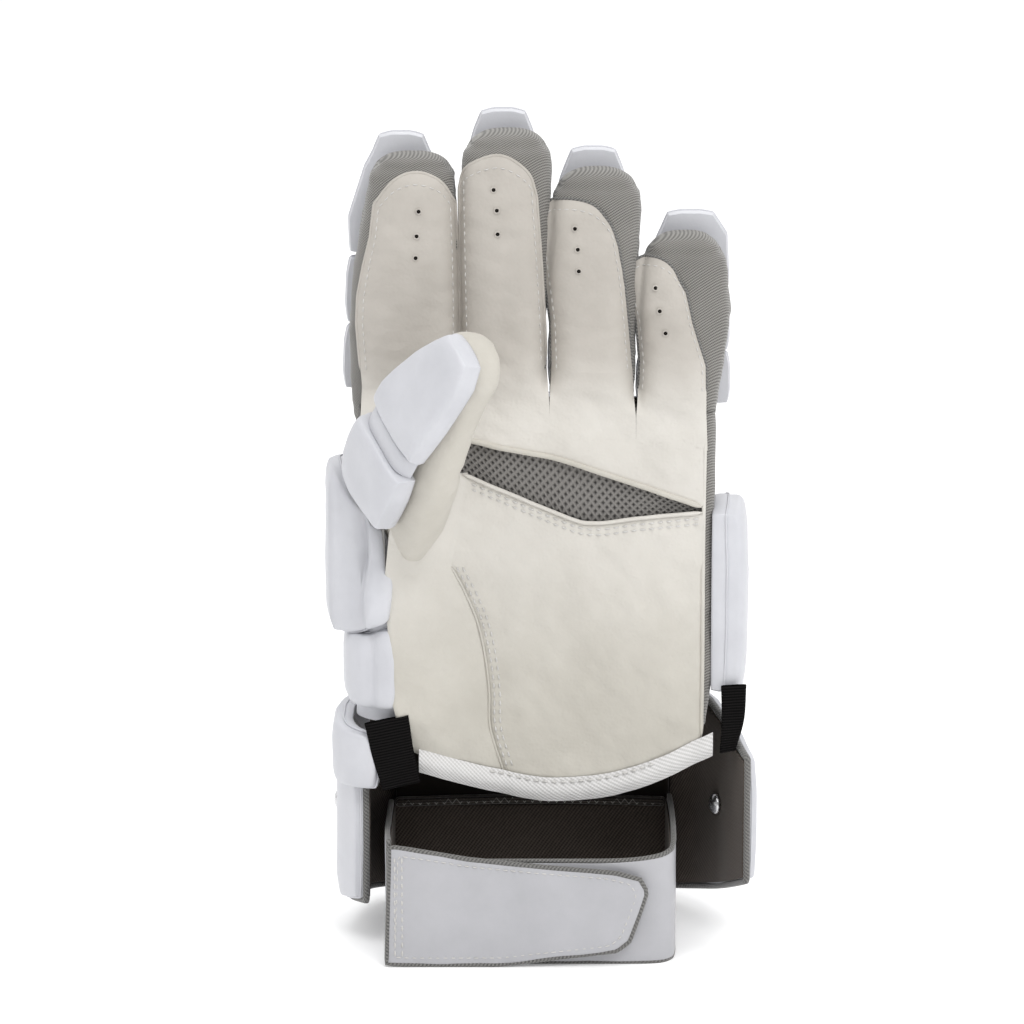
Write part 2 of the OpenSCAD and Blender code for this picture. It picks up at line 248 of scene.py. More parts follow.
def pad(name, base, height, material, n=22, m=26, p=5.0, wall=0.5, corner=0.10, dent=None, rough=0.25, seed=0.0,
        dome=0.10, welt=True):
    """A foam pad in a sewn cover: base(u, v) gives a point of its flat side and the outward direction there, and
    the outer side is crowned. dent(u, v) takes a share of the height away, for seams and channels."""
    au = np.linspace(-math.pi / 2, math.pi / 2, m)
    av = np.linspace(-math.pi / 2, math.pi / 2, n)
    outer, flat, ways = np.zeros((3, n, m, 3))
    for i, b in enumerate(av):
        for j, a in enumerate(au):
            u, v = superpower(math.sin(a), p), superpower(math.sin(b), p)
            uu = u * math.sqrt(max(1 - 2 * corner * v * v, 0))
            vv = v * math.sqrt(max(1 - 2 * corner * u * u, 0))
            lift = wall + (1 - wall) * (max(math.cos(a), 0) ** (2 / p) * max(math.cos(b), 0) ** (2 / p)) ** 0.8
            h = height * (lift + dome * (1 - 0.5 * (u * u + v * v)))
            if dent:
                h *= 1 - dent(uu, vv)
            at, out = base((uu + 1) / 2, (vv + 1) / 2)
            q = np.asarray(at, float) + out * h
            outer[i, j] = q + out * (wobble(q, 16, rough, seed) + wobble(q, 5, rough * 0.4, seed + 3))
            flat[i, j], ways[i, j] = at, out
    edge = [(0, j) for j in range(m)] + [(i, m - 1) for i in range(1, n)] \
        + [(n - 1, j) for j in range(m - 2, -1, -1)] + [(i, 0) for i in range(n - 2, 0, -1)]
    k = len(edge)
    foot, top = np.array([flat[e] for e in edge]), np.array([outer[e] for e in edge])
    along = unit(np.roll(foot, -1, 0) - np.roll(foot, 1, 0))
    away = unit(np.cross(along, np.array([ways[e] for e in edge])))
    if ((foot - foot.mean(0)) * away).sum() < 0:
        away = -away
    verts = list(outer.reshape(-1, 3)) + list(flat.reshape(-1, 3))
    cells = [(k, k + 1, k + m + 1, k + m) for k in range((n - 1) * m) if k % m < m - 1]
    faces = cells + [tuple(c + n * m for c in reversed(f)) for f in cells]
    ring = [i * m + j for i, j in edge]
    for f, bulge in ((0.72, 0.45), (0.4, 0.5), (0.12, 0.1)):
        start = len(verts)
        verts += list(foot * (1 - f) + top * f + away * bulge)
        new = list(range(start, start + k))
        faces += [(ring[j], new[j], new[(j + 1) % k], ring[(j + 1) % k]) for j in range(k)]
        ring = new
    last = [n * m + i * m + j for i, j in edge]
    faces += [(ring[j], last[j], last[(j + 1) % k], ring[(j + 1) % k]) for j in range(k)]
    obj = mesh(name, verts, faces, material)
    bm = bmesh.new()
    bm.from_mesh(obj.data)
    bmesh.ops.remove_doubles(bm, verts=bm.verts, dist=0.00002)
    bmesh.ops.recalc_face_normals(bm, faces=bm.faces)
    bm.to_mesh(obj.data)
    bm.free()
    if welt:
        line = foot * 0.14 + top * 0.86 + away * 0.45
        obj = join(name, [obj, tube("welt", loop_of(line, 110), 0.42, material, closed=True, sides=6)])
    return obj


def between(left, right):
    """A function of (u, v) that gives the [x, z] point between two edges of such points."""
    left, right = np.asarray(left, float), np.asarray(right, float)

    def at(u, v):
        t = v * (len(left) - 1)
        i = min(int(t), len(left) - 2)
        f = t - i
        a, b = left[i] * (1 - f) + left[i + 1] * f, right[i] * (1 - f) + right[i + 1] * f
        return a * (1 - u) + b * u
    return at


def flat_base(left, right, y, way):
    """A base for pad(): a flat quad between two edges of [x, z] points, at height y, facing +Y or -Y."""
    at = between(left, right)

    def base(u, v):
        x, z = at(u, v)
        return np.array([x, y, z]), np.array([0, way, 0])
    return base


def plan_normal(path):
    """The direction to the right of each point of a plan path of [x, y] points."""
    t = unit(np.gradient(path, axis=0))
    return np.stack([t[:, 1], -t[:, 0]], 1)


def wall_base(path, low, high, out=1):
    """A base for pad(): an upright wall over a plan path of [x, y] points, from height low(s) to high(s)."""
    path = curve(path, 60)
    normal = plan_normal(path) * out

    def at(u, v):
        k = u * (len(path) - 1)
        i = min(int(k), len(path) - 2)
        f = k - i
        xy = path[i] * (1 - f) + path[i + 1] * f
        nrm = unit(normal[i] * (1 - f) + normal[i + 1] * f)
        z = low(u) * (1 - v) + high(u) * v
        return np.array([*xy, z]), unit([*nrm, 0.0])
    return at


# ---------------------------------------------------------------- materials


def principled(name, color, rough, metallic=0.0, sheen=0.0):
    m = bpy.data.materials.new(name)
    m.use_nodes = True
    b = shader(m)
    for socket, value in (("Base Color", (*color, 1)), ("Roughness", rough), ("Metallic", metallic),
                          ("Sheen Weight", sheen)):
        b.inputs[socket].default_value = value
    return m, m.node_tree, b


def shader(material):
    return material.node_tree.nodes["Principled BSDF"]


def node(nt, kind, inputs=None, **props):
    n = nt.nodes.new(kind)
    for k, v in props.items():
        setattr(n, k, v)
    for k, v in (inputs or {}).items():
        if isinstance(v, bpy.types.NodeSocket):
            nt.links.new(v, n.inputs[k])
        else:
            n.inputs[k].default_value = v
    return n


def tinted(nt, bsdf, fac, dark, light, low=0.3, high=0.7):
    r = node(nt, "ShaderNodeValToRGB", {"Fac": fac})
    r.color_ramp.elements[0].position, r.color_ramp.elements[1].position = low, high
    r.color_ramp.elements[0].color, r.color_ramp.elements[1].color = (*dark, 1), (*light, 1)
    nt.links.new(r.outputs["Color"], bsdf.inputs["Base Color"])
    return r


def bumps(nt, bsdf, layers):
    """layers: (height socket, strength, distance)."""
    last = None
    for height, strength, distance in layers:
        b = node(nt, "ShaderNodeBump", {"Height": height, "Strength": strength, "Distance": distance})
        if last:
            nt.links.new(last.outputs["Normal"], b.inputs["Normal"])
        last = b
    nt.links.new(last.outputs["Normal"], bsdf.inputs["Normal"])


def leather(name, dark, light, rough, grain=900.0, grain_strength=0.35, crease=0.25, sheen=0.0, near=None):
    """Coated or bare leather. near is (dark, light, z0, z1): the colours below z0, which fade to the others by z1."""
    m, nt, b = principled(name, light, rough, sheen=sheen)
    at = node(nt, "ShaderNodeTexCoord").outputs["Object"]
    cloud = node(nt, "ShaderNodeTexNoise", {"Vector": at, "Scale": 38.0, "Detail": 5.0, "Roughness": 0.6})
    own = tinted(nt, b, cloud.outputs["Fac"], dark, light)
    # near paints shade that changes with height: the palm is darker towards the wrist, and the finger leather darker
    # above the roots.
    if near:
        other = tinted(nt, b, cloud.outputs["Fac"], *near[:2])
        height = node(nt, "ShaderNodeSeparateXYZ", {"Vector": at}).outputs["Z"]
        share = node(nt, "ShaderNodeMapRange", {"Value": height, "From Min": near[2], "From Max": near[3]},
                     interpolation_type="SMOOTHSTEP")
        mix = node(nt, "ShaderNodeMix", {"Factor": share.outputs["Result"], 6: other.outputs["Color"],
                                         7: own.outputs["Color"]}, data_type="RGBA")
        nt.links.new(mix.outputs[2], b.inputs["Base Color"])
    cells = node(nt, "ShaderNodeTexVoronoi", {"Vector": at, "Scale": grain}, feature="SMOOTH_F1")
    folds = node(nt, "ShaderNodeTexNoise", {"Vector": at, "Scale": 150.0, "Detail": 4.0, "Distortion": 0.6})
    worn = node(nt, "ShaderNodeMapRange", {"Value": cloud.outputs["Fac"], "From Min": 0.3, "From Max": 0.7,
                                           "To Min": rough - 0.06, "To Max": rough + 0.08})
    nt.links.new(worn.outputs["Result"], b.inputs["Roughness"])
    bumps(nt, b, [(cells.outputs["Distance"], grain_strength, 0.00025), (folds.outputs["Fac"], crease, 0.0006)])
    return m


def ribs(nt, vector, period, direction="X"):
    """Bands across a vector in metres."""
    return node(nt, "ShaderNodeTexWave", {"Vector": vector, "Scale": 2 * math.pi / (20 * period), "Distortion": 0.0,
                                          "Detail": 1.0, "Detail Scale": 4.0},
                wave_type="BANDS", bands_direction=direction).outputs["Fac"]


# Turn of the threads, and the share of the first set in the relief; the net shows both sets
WEAVES = {"twill": (0.95, 0.7), "rib": (0.0, 0.85), "across": (math.pi / 2, 0.85), "net": (math.pi / 4, None)}


def weave(name, dark, light, rough, period, kind="twill", strength=0.8, depth=0.0004, sheen=0.3):
    """Cloth of two crossing sets of threads, period metres apart."""
    m, nt, b = principled(name, light, rough, sheen=sheen)
    angle, share = WEAVES[kind]
    coords = node(nt, "ShaderNodeTexCoord").outputs
    turned = node(nt, "ShaderNodeMapping", {"Vector": coords["UV"], "Rotation": (0, 0, angle)}).outputs["Vector"]
    warp, weft = ribs(nt, turned, period), ribs(nt, turned, period * (0.8 if share else 1.0), "Y")

    def combine(operation, x, y):
        return node(nt, "ShaderNodeMath", {0: x, 1: y}, operation=operation).outputs[0]
    if share:
        threads = combine("ADD", combine("MULTIPLY", warp, share), combine("MULTIPLY", weft, 1 - share))
    else:
        threads = combine("MAXIMUM", warp, weft)
    cloud = node(nt, "ShaderNodeTexNoise", {"Vector": coords["Object"], "Scale": 45.0, "Detail": 3.0})
    tone = combine("ADD", threads, combine("MULTIPLY", cloud.outputs["Fac"], 0.35))
    tinted(nt, b, tone, dark, light, 0.25, 1.0 if share else 0.95)
    bumps(nt, b, [(threads, strength, depth)])
    return m


COATED = (0.525, 0.53, 0.562), (0.600, 0.605, 0.638)
HIDE = (0.575, 0.552, 0.508), (0.635, 0.612, 0.57)
HIDE_LOOK = {"rough": 0.62, "grain": 820.0, "grain_strength": 0.45, "sheen": 0.1}
WHITE = leather("white_coated", *COATED, 0.42, grain=1400.0, grain_strength=0.12, crease=0.10)
WHITE_BACK = leather("white_coated_back", *COATED, 0.45, grain=1400.0, grain_strength=0.15, crease=0.14)
# The strap and tab use a darker grey copy of the white coating: painted shade, as the light falls off towards the
# bottom of the glove.
SHADED_WHITE_STRAP = leather("white_coated_strap_shaded", (0.395, 0.395, 0.415), (0.455, 0.455, 0.478), 0.42, grain=1400.0,
                      grain_strength=0.12, crease=0.16)
# The palm leather darkens towards the wrist, most below 85 mm and fading out by 185 mm: painted shade, as the light
# falls off towards the bottom of the glove.
PALM = leather("palm_leather", *HIDE, crease=0.3, near=((0.455, 0.432, 0.380), (0.525, 0.502, 0.448), 0.085, 0.185),
               **HIDE_LOOK)
# The finger leather is darker than the palm's: painted shade. Below 207 mm it takes the palm's colours and fades to
# the darker ones by 243 mm.
FINGER = leather("finger_leather", (0.41, 0.382, 0.345), (0.485, 0.455, 0.415), crease=0.35,
                 near=(*HIDE, 0.207, 0.243), **HIDE_LOOK)
THUMB = leather("thumb_leather", (0.48, 0.456, 0.403), (0.545, 0.520, 0.468), crease=0.4, **HIDE_LOOK)
TWILL = weave("grey_twill", (0.085, 0.081, 0.074), (0.275, 0.266, 0.248), 0.8, 0.0009, depth=0.00022)
NET = weave("grey_net", (0.030, 0.028, 0.026), (0.205, 0.195, 0.184), 0.8, 0.0021, "net", 1.0, 0.0007)
BINDING = weave("white_binding", (0.50, 0.495, 0.485), (0.68, 0.67, 0.665), 0.75, 0.0013, strength=0.45)
WEBBING = weave("black_webbing", (0.002, 0.002, 0.002), (0.010, 0.009, 0.009), 0.85, 0.0011, "across", sheen=0.0)
KNIT = weave("dark_knit", (0.014, 0.011, 0.009), (0.085, 0.070, 0.059), 0.9, 0.0022, "rib", 1.0, 0.0007, 0.1)
LINING = weave("brown_lining", (0.032, 0.025, 0.020), (0.108, 0.089, 0.075), 0.85, 0.0012, strength=0.35, sheen=0.1)
GREY_EDGE = weave("grey_binding", (0.06, 0.06, 0.057), (0.185, 0.18, 0.172), 0.7, 0.0012, strength=0.5)
BEAD = weave("dark_bead", (0.015, 0.012, 0.010), (0.075, 0.065, 0.055), 0.7, 0.0016, "rib", 1.0)
HOOK = weave("hook_loop", (0.02, 0.02, 0.02), (0.09, 0.088, 0.088), 0.9, 0.0011, "net", 1.0)
THREAD = leather("thread", (0.50, 0.49, 0.47), (0.62, 0.61, 0.59), 0.6, grain=2500.0)
THREAD_GREY = leather("thread_grey", (0.33, 0.32, 0.30), (0.46, 0.45, 0.43), 0.6, grain=2500.0)
# The dark disc in each punched hole is painted shade for the hole's inside.
HOLE_SHADE = leather("hole_painted_shade", (0.012, 0.010, 0.009), (0.02, 0.018, 0.016), 0.9)
PLASTIC = leather("moulded_sheet", (0.52, 0.52, 0.54), (0.6, 0.6, 0.62), 0.4, grain=300.0, grain_strength=0.1)
for dull, shine in ((WEBBING, 0.05), (KNIT, 0.12), (LINING, 0.15), (BEAD, 0.15), (HOLE_SHADE, 0.05), (TWILL, 0.25),
                    (NET, 0.2)):
    shader(dull).inputs["Specular IOR Level"].default_value = shine


def rivet_metal():
    m, nt, b = principled("rivet_metal", (0.62, 0.62, 0.63), 0.28, metallic=1.0)
    at = node(nt, "ShaderNodeTexCoord").outputs["Object"]
    fine = node(nt, "ShaderNodeTexNoise", {"Vector": at, "Scale": 900.0, "Detail": 3.0})
    spread = node(nt, "ShaderNodeMapRange", {"Value": fine.outputs["Fac"], "To Min": 0.18, "To Max": 0.38})
    nt.links.new(spread.outputs["Result"], b.inputs["Roughness"])
    bumps(nt, b, [(fine.outputs["Fac"], 0.1, 0.0001)])
    return m


METAL = rivet_metal()

# ---------------------------------------------------------------- camera, light and floor


AIM = Vector((-0.0108, 0.0, 0.1735))
FRAME_HEIGHT = 0.3963  # metres seen at AIM
ELEVATION = math.radians(14)
FLOOR_HALF = 4000
LIGHTS = (("key", (0.5, -1.2, 1.65), 0.8, 14.0), ("top", (-0.5, -0.75, 1.9), 0.8, 9.0),
          ("fill", (1.3, -0.8, 0.6), 1.2, 2.5), ("back", (0.3, 1.5, 1.3), 1.5, 5.0))  # name, place, size, watts


def look_at(obj, place, target):
    obj.location = place
    obj.rotation_euler = (target - obj.location).to_track_quat("-Z", "Y").to_euler()


def studio():
    cam = bpy.data.cameras.new("camera")
    cam.lens, cam.sensor_width = 200, 36
    rig = collect(bpy.data.objects.new("camera", cam))
    distance = FRAME_HEIGHT * cam.lens / cam.sensor_width
    look_at(rig, AIM + Vector((0, -math.cos(ELEVATION), math.sin(ELEVATION))) * distance, AIM)
    bpy.context.scene.camera = rig
    pale = leather("floor", (0.93, 0.93, 0.93), (0.95, 0.95, 0.95), 0.9, grain=3.0, grain_strength=0.0, crease=0.0)
    corners = [(x * FLOOR_HALF, y * FLOOR_HALF, 0) for x, y in ((-1, -1), (1, -1), (1, 1), (-1, 1))]
    floor = mesh("floor", corners, [(0, 1, 2, 3)], pale)
    shade = shader(pale)
    shade.inputs["Emission Color"].default_value = (1, 1, 1, 1)
    shade.inputs["Emission Strength"].default_value = 0.17
    for name, place, size, power in LIGHTS:
        light = bpy.data.lights.new(name, "AREA")
        light.size, light.energy = size, power
        look_at(collect(bpy.data.objects.new(name, light)), place, Vector((0, 0, 0.15)))
    world = bpy.data.worlds.new("world")
    world.use_nodes = True
    nt = world.node_tree
    # Brightest behind the glove and above, dimmer behind the camera
    way = node(nt, "ShaderNodeVectorMath", {0: node(nt, "ShaderNodeTexCoord").outputs["Generated"],
                                            1: (0.08, 0.93, 0.36)}, operation="DOT_PRODUCT")
    glow = node(nt, "ShaderNodeMapRange", {"Value": way.outputs["Value"], "From Min": -0.7, "From Max": 0.5,
                                           "To Min": 0.42, "To Max": 1.0})
    nt.links.new(glow.outputs["Result"], nt.nodes["Background"].inputs["Strength"])
    nt.nodes["Background"].inputs["Color"].default_value = (1, 1, 1, 1)
    bpy.context.scene.world = world
    bpy.context.scene.view_settings.view_transform = "Standard"


studio()

# ---------------------------------------------------------------- putting the pieces on their bodies


def settle(obj, body, nodes=()):
    """Puts a finished piece on its body and hides the CAD nodes it stands for."""
    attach(obj, body)
    if nodes:
        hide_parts(*nodes)
    return obj


def cushion(name, node_name, body, fill, base, height, material=WHITE, **shape):
    """A pad in a coated cover that stands for a CAD node."""
    settle(pad(name, base, height, material, **shape), body, [node_name] if node_name else ())


def cloth(obj, width):
    """Works out the cut of a sheet for the piece: width across and as long as its area needs; the result is not kept.
    """
    bm = bmesh.new()
    bm.from_mesh(obj.data)
    area = sum(f.calc_area() for f in bm.faces)
    rim = sum(e.calc_length() for e in bm.edges if e.is_boundary)
    bm.free()
    tries = [(w, layers) for w in (width * MM, math.sqrt(area), math.sqrt(area / 2)) for layers in (1, 2)]
    width, length = next((w, area / k / w) for w, k in tries if (rim < 0.5 * (w + area / k / w)) == (k == 2))


def bending(obj, width):
    """Bakes the piece's placement into its mesh and works out its sheet's cut as cloth() does."""
    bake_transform(obj)
    cloth(obj, width)


def table_of(rows):
    """A function of z that reads a table of (z, left x, right x)."""
    t = np.array(sorted(rows), float)
    return lambda z: (np.interp(z, t[:, 0], t[:, 1]), np.interp(z, t[:, 0], t[:, 2]))


# ---------------------------------------------------------------- palm surface

SEAM = np.array([(-28, 188), (-31, 170), (-34.5, 153), (-29, 142.5), (-24.4, 131), (-21.3, 117), (-19.7, 102.5),
                 (-19.3, 88), (-14.7, 72), (-13, 66)], float)


def seam_x(z):
    return np.interp(z, SEAM[::-1, 1], SEAM[::-1, 0])


def palm_at(x, z):
    """Height of the palm's leather: the ball of the thumb stands forward, and the hand's hollow lies back."""
    d = max(float(seam_x(z)) - x, 0.0)
    ball = 12.5 * (1 - math.exp(-(d / 15.0) ** 1.5)) * (0.35 + 0.65 * smooth((z - 62) / 34))
    heel = 3.2 * hump(x, 44, 20) * hump(z, 112, 38)
    hollow = -1.2 * hump(x, 6, 15) * hump(z, 135, 28)
    roots = 1.6 * hump(z, 196, 11) * (0.5 - 0.5 * math.cos(2 * math.pi * (x + 30.5) / 33.8))
    hem = 1.2 * hump(z, 66, 9)
    if x < -20 and z > 130:
        ball += 7.0 * hump(x, -50, 15) * hump(z, 176, 17)
    crease = wobble((x, 0, z), 11, 0.7, 4.0) + wobble((x * 0.6 + z * 0.5, 0, z * 0.4 - x * 0.2), 3.4, 0.32, 9.0)
    return PALM_Y - (ball + heel + hollow + roots + hem) - crease


# ---------------------------------------------------------------- fingers

NAMES = ("index", "middle", "ring", "little")
KNUCKLE_Z = [joint_at(n + "_knuckle_flex")[2] for n in NAMES]
MIDDLE_Z = [joint_at(n + "_middle_flex")[2] for n in NAMES]
END_Z = [cad(n + "_tip_pad")[0][2] - 0.4 for n in NAMES]
TIP_Z = [cad(n + "_tip_pad")[1][2] for n in NAMES]
STRIP_EDGES = [
    table_of([(200, -69.5, -30.6), (212, -69, -30.6), (216, -68.8, -30.6), (224, -68.5, -31), (248, -70.5, -31),
              (259, -70, -31), (271, -67.7, -31.4), (282, -65, -31.9), (295, -63.5, -32.5)]),
    table_of([(200, -30.6, 3.6), (216, -30.6, 3.6), (220, -30.3, 3.4), (232, -30, 2.4), (248, -30.2, 1.9),
              (271, -30.6, 0.6), (298, -31.0, -1.4)]),
    table_of([(200, 3.6, 37), (212, 3.6, 36.9), (219, 3.7, 36.2), (232, 4.4, 35.4), (248, 3.9, 34.0),
              (263, 1.9, 32.6), (271, 0.8, 31.4), (279, 0, 30)]),
    table_of([(200, 37, 64.5), (213, 37, 64), (219, 37.6, 64), (232, 38.4, 63.9), (248, 37.0, 58.8),
              (259, 34.4, 56.5), (266, 33.2, 55)])]
STRIP_TOPS = [
    [(-63.5, 295), (-55.7, 304.4), (-46.8, 307.2), (-37.9, 303.6), (-32.5, 295)],
    [(-31.3, 300), (-28.6, 308.8), (-19, 313.6), (-11.6, 312.8), (-3.9, 306.8), (-1, 298)],
    [(-0.4, 288), (2.3, 294.5), (10.4, 296.9), (20.1, 294.9), (26.7, 287.5), (30, 279)],
    [(33, 263), (35.6, 271.2), (43.7, 274.0), (51, 270.6), (55.6, 261)]]
GUSSET_EDGES = [
    table_of([(200, -69.5, -31.5), (217, -72.5, -31.6), (243, -73.5, -31.4), (270, -71.5, -31.6), (290, -68, -31.8),
              (303, -65, -32.5)]),
    table_of([(200, -30, 2.4), (219, -30.4, 2.4), (248, -30.4, 2.6), (278, -30.6, 3.4), (305, -30, 4.4)]),
    table_of([(200, 4, 36), (217, 4, 36.4), (243, 3.8, 36.8), (268, 3.4, 37.4), (290, 4.6, 39)]),
    table_of([(196, 38.2, 66), (211, 38.4, 68), (232, 38.8, 71), (252, 38.2, 73.5), (266, 39, 72)])]
DOME_Z = [300.0, 307.0, 290.0, 264.0]
SLIT_FOOT = (211.0, 216.0, 218.0, 212.5, 206.0)
HOLES = [[(-46.4, 292.9), (-47.2, 283.3), (-47.6, 274.9)], [(-17.8, 301.2), (-16.6, 293.3), (-16.3, 284.1)],
         [(13.2, 286.1), (14.3, 278.1), (14.7, 269.7)], [(44.1, 262.9), (45.7, 254.1), (48.0, 245.4)]]
SECTION_POWER = 3.2
TIP_GAP = 5.5  # from the end of a finger's tube to the end of its back pad


def finger_section(i, z):
    """(left, right, front, back) of a finger's tube at height z, with its round end."""
    left, right = GUSSET_EDGES[i](min(z, DOME_Z[i]))
    front, back = PALM_Y + 1.2, FINGER_BACK_Y - 0.1
    top = TIP_Z[i] - TIP_GAP
    rise = min(max((z - DOME_Z[i]) / (top - DOME_Z[i]), 0), 1)
    scale = max(math.sqrt(max(1 - rise**2, 0)), 0.004) ** 0.62
    mid, half = (left + right) / 2, (right - left) / 2
    deep = (back - front) / 2
    yc = (front + back) / 2
    yc += (15.5 - yc) * (1 - scale)
    return mid - half * scale, mid + half * scale, yc - deep * scale, yc + deep * scale


def finger_front(i, x, z):
    """Y of the tube's front at (x, z)."""
    left, right, front, back = finger_section(i, z)
    s = min(abs((x - (left + right) / 2) / ((right - left) / 2)), 0.985)
    deep = (back - front) / 2
    return (front + back) / 2 - deep * (1 - s**SECTION_POWER) ** (1 / SECTION_POWER)


def domed(low, dome, top, n):
    """Heights of the rings of a tube with a round end: even up to dome, then closing up towards top."""
    return np.concatenate([np.linspace(low, dome, n, endpoint=False),
                           dome + (top - dome) * np.sin(np.linspace(0, 1.5, 16))])


def finger_tube(i, name, z_values, capped):
    around = circle(56) - math.pi / 2
    rows = []
    for z in z_values:
        left, right, front, back = finger_section(i, z)
        xc, yc, hx, hy = (left + right) / 2, (front + back) / 2, (right - left) / 2, (back - front) / 2
        row = []
        for a in around:
            c, s = math.cos(a), math.sin(a)
            r = (abs(c)**SECTION_POWER + abs(s)**SECTION_POWER) ** (-1 / SECTION_POWER)
            x, y = xc + hx * r * c, yc + hy * r * s
            fold = z - (DOME_Z[i] + 0.55 * (TIP_Z[i] - 3 - DOME_Z[i]))
            crimp = 0.9 * math.exp(-(fold / 1.3) ** 2) - 0.5 * math.exp(-((fold + 3.2) / 1.8) ** 2)
            pinch = wobble((x, y, z), 9, 0.55, i * 7.0) + wobble((x, y, z * 2.2), 5, 0.3, i * 3.0)
            out = np.array([c / max(hx, 3), s / max(hy, 3)])
            out = out / np.linalg.norm(out)
            k = pinch - (crimp if s < 0.2 else 0)
            row.append((x + out[0] * k, y + out[1] * k, z))
        rows.append(row)
    skin = grid(name, rows, TWILL, wrap=True, caps=(False, capped))
    lay_weave(skin)
    return skin


def lay_weave(obj):
    """Lays the weave as straight as cloth that was cut flat: across and up, and on round the sides."""
    me = obj.data
    for loop in me.loops:
        p = me.vertices[loop.vertex_index].co
        me.uv_layers[0].data[loop.index].uv = (p.x + 0.9 * max(p.y - 0.005, 0), p.z + 0.6 * p.y)


def finger_strip(i, name, low, high):
    """The leather down a finger's front from low to high; high None runs to its round end."""
    top = curve(STRIP_TOPS[i], 60)
    n, m = 56, 34
    rows = []
    for v in np.linspace(0, 1, n):
        row = []
        for u in np.linspace(0, 1, m):
            z_top = high
            if high is None:
                x_top = top[0, 0] + (top[-1, 0] - top[0, 0]) * u
                z_top = float(np.interp(x_top, top[:, 0], top[:, 1]))
            z = low + (z_top - low) * v
            left, right = STRIP_EDGES[i](z)
            x = left + (right - left) * u
            side = abs(2 * u - 1)
            end = (1 - v**9) if high is None else 1.0
            puff = 0.7 + 2.5 * (1 - side**3.5) * end
            puff += wobble((x, 0, z * 1.4), 9, 0.5, i * 5.0) + wobble((x * 0.5, 0, z), 4, 0.35, i * 2.0)
            own = finger_front(i, x, z) - puff
            foot = SLIT_FOOT[i] * (1 - u) + SLIT_FOOT[i + 1] * u
            s = smooth((z - foot) / 12)
            row.append((x, palm_at(x, z) * (1 - s) + own * s, z))
        rows.append(row)
    return grid(name, rows, FINGER, flip=True), np.array(rows)


def border_of(rows):
    """The rim of a strip: up its left edge, over its end and down its right edge."""
    return np.vstack([rows[:, 0], rows[-1, 1:-1], rows[::-1, -1]])


def vent(rows, x, z):
    """A punched hole: a pressed rim round a dark disc, painted shade for the hole's inside."""
    near = ((rows[:, :, 0] - x) ** 2 + (rows[:, :, 2] - z) ** 2).ravel().argsort()[:4]
    y = rows[:, :, 1].ravel()[near].min() - 0.12
    a = circle(14)
    ring = np.stack([x + 1.05 * np.cos(a), np.full(14, y), z + 1.05 * np.sin(a)], 1)
    rim = tube("vent_rim", ring, 0.3, FINGER, closed=True, sides=6)
    disc = mesh("vent_bottom", np.vstack([ring + [0, 0.05, 0], [[x, y + 0.05, z]]]),
                [(j, (j + 1) % 14, 14) for j in range(14)], HOLE_SHADE)
    return [rim, disc]


def finger_edges(i, z):
    """The back pads' edges, a little wider than the finger they cover."""
    lo, hi = cad(NAMES[i] + "_lower_pad"), cad(NAMES[i] + "_tip_pad")
    f = (z - KNUCKLE_Z[i]) / (TIP_Z[i] - KNUCKLE_Z[i])
    left = lo[0][0] + (hi[0][0] - lo[0][0]) * f
    right = lo[1][0] + (hi[1][0] - lo[1][0]) * f
    widen_left, widen_right = ((3.0, -0.6), (-0.6, -1.2), (-0.6, -1.0), (-0.6, 5.0))[i]
    fade = 1 - 0.6 * f
    return left - widen_left * (fade if i == 0 else 1), right + widen_right * (fade if i == 3 else 1)


def finger(i):
    n = NAMES[i]
    k, m, e, t = KNUCKLE_Z[i], MIDDLE_Z[i], END_Z[i], TIP_Z[i]
    cut = (k + m) / 2
    low = 203.0 if i < 3 else 199.0
    y = FINGER_BACK_Y + 0.3
    deep = cad(n + "_lower_pad")[1][1] - y
    for part, z0, z1, body in (("lower_pad", k + 0.5, m - 0.5, "lower"), ("middle_pad", m + 0.5, e - 0.5, "upper"),
                               ("tip_pad", e + 0.5, t, "upper")):
        left, right = [[(finger_edges(i, z)[k], z) for z in (z0, z1)] for k in (0, 1)]
        if part == "tip_pad":
            a, b = finger_edges(i, t - 25)
            c = (a + b) / 2 + (0, 0, 1, 1.5)[i]
            shoulder = [(c + 15, t - 10), (c + 9, t)] if i == 3 else [(c + 11, t - 8), (c + 8, t)]
            left = resample([left[0], (a, t - 25), (c - 11, t - 8), (c - 8, t)], 20)
            right = resample([right[0], (b, t - 25)] + shoulder, 20)
        cushion(f"{n}_{part}_cover", f"{n}_{part}", f"{n}_{body}", 0.8, flat_base(left, right, y, 1), deep * 0.93,
                seed=i * 3.0 + z0, p=6.5, corner=0.06)
    for part, under, z0, z1, a, b, at in (("lower", "lower", low, cut, "hand", n + "_lower", k),
                                          ("upper", "middle", cut, None, n + "_lower", n + "_upper", m)):
        closed = part == "upper"
        zs = domed(z0, DOME_Z[i], t - TIP_GAP, 34) if closed else np.linspace(z0, z1, 22)
        skin = finger_tube(i, f"{n}_{part}_gusset_mesh", zs, closed)
        strip, rows = finger_strip(i, f"{n}_{part}_strip_leather", z0, z1)
        if closed:
            edge = border_of(rows) + [0, 0.25, 0]
            bead = tube(f"{n}_strip_edge", resample(edge, 130), 0.62, GREY_EDGE if i > 1 else FINGER, sides=7)
            inner = rows[:, 2:-2]
            row_of = resample(border_of(inner[:-3]), 120) + [0, -0.1, 0]
            sewn = stitches(row_of, pitch=3.2, length=2.0, r=0.26)
            vents = [o for x, z in HOLES[i] for o in vent(rows, x, z)]
            strip = join(f"{n}_{part}_strip_leather", [strip, bead, sewn] + vents)
        for o, node_name in ((skin, f"{n}_{part}_gusset"), (strip, f"{n}_{part}_strip")):
            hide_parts(node_name)
            bending(o,
                    36)


for index in range(4):
    finger(index)

# ---------------------------------------------------------------- palm

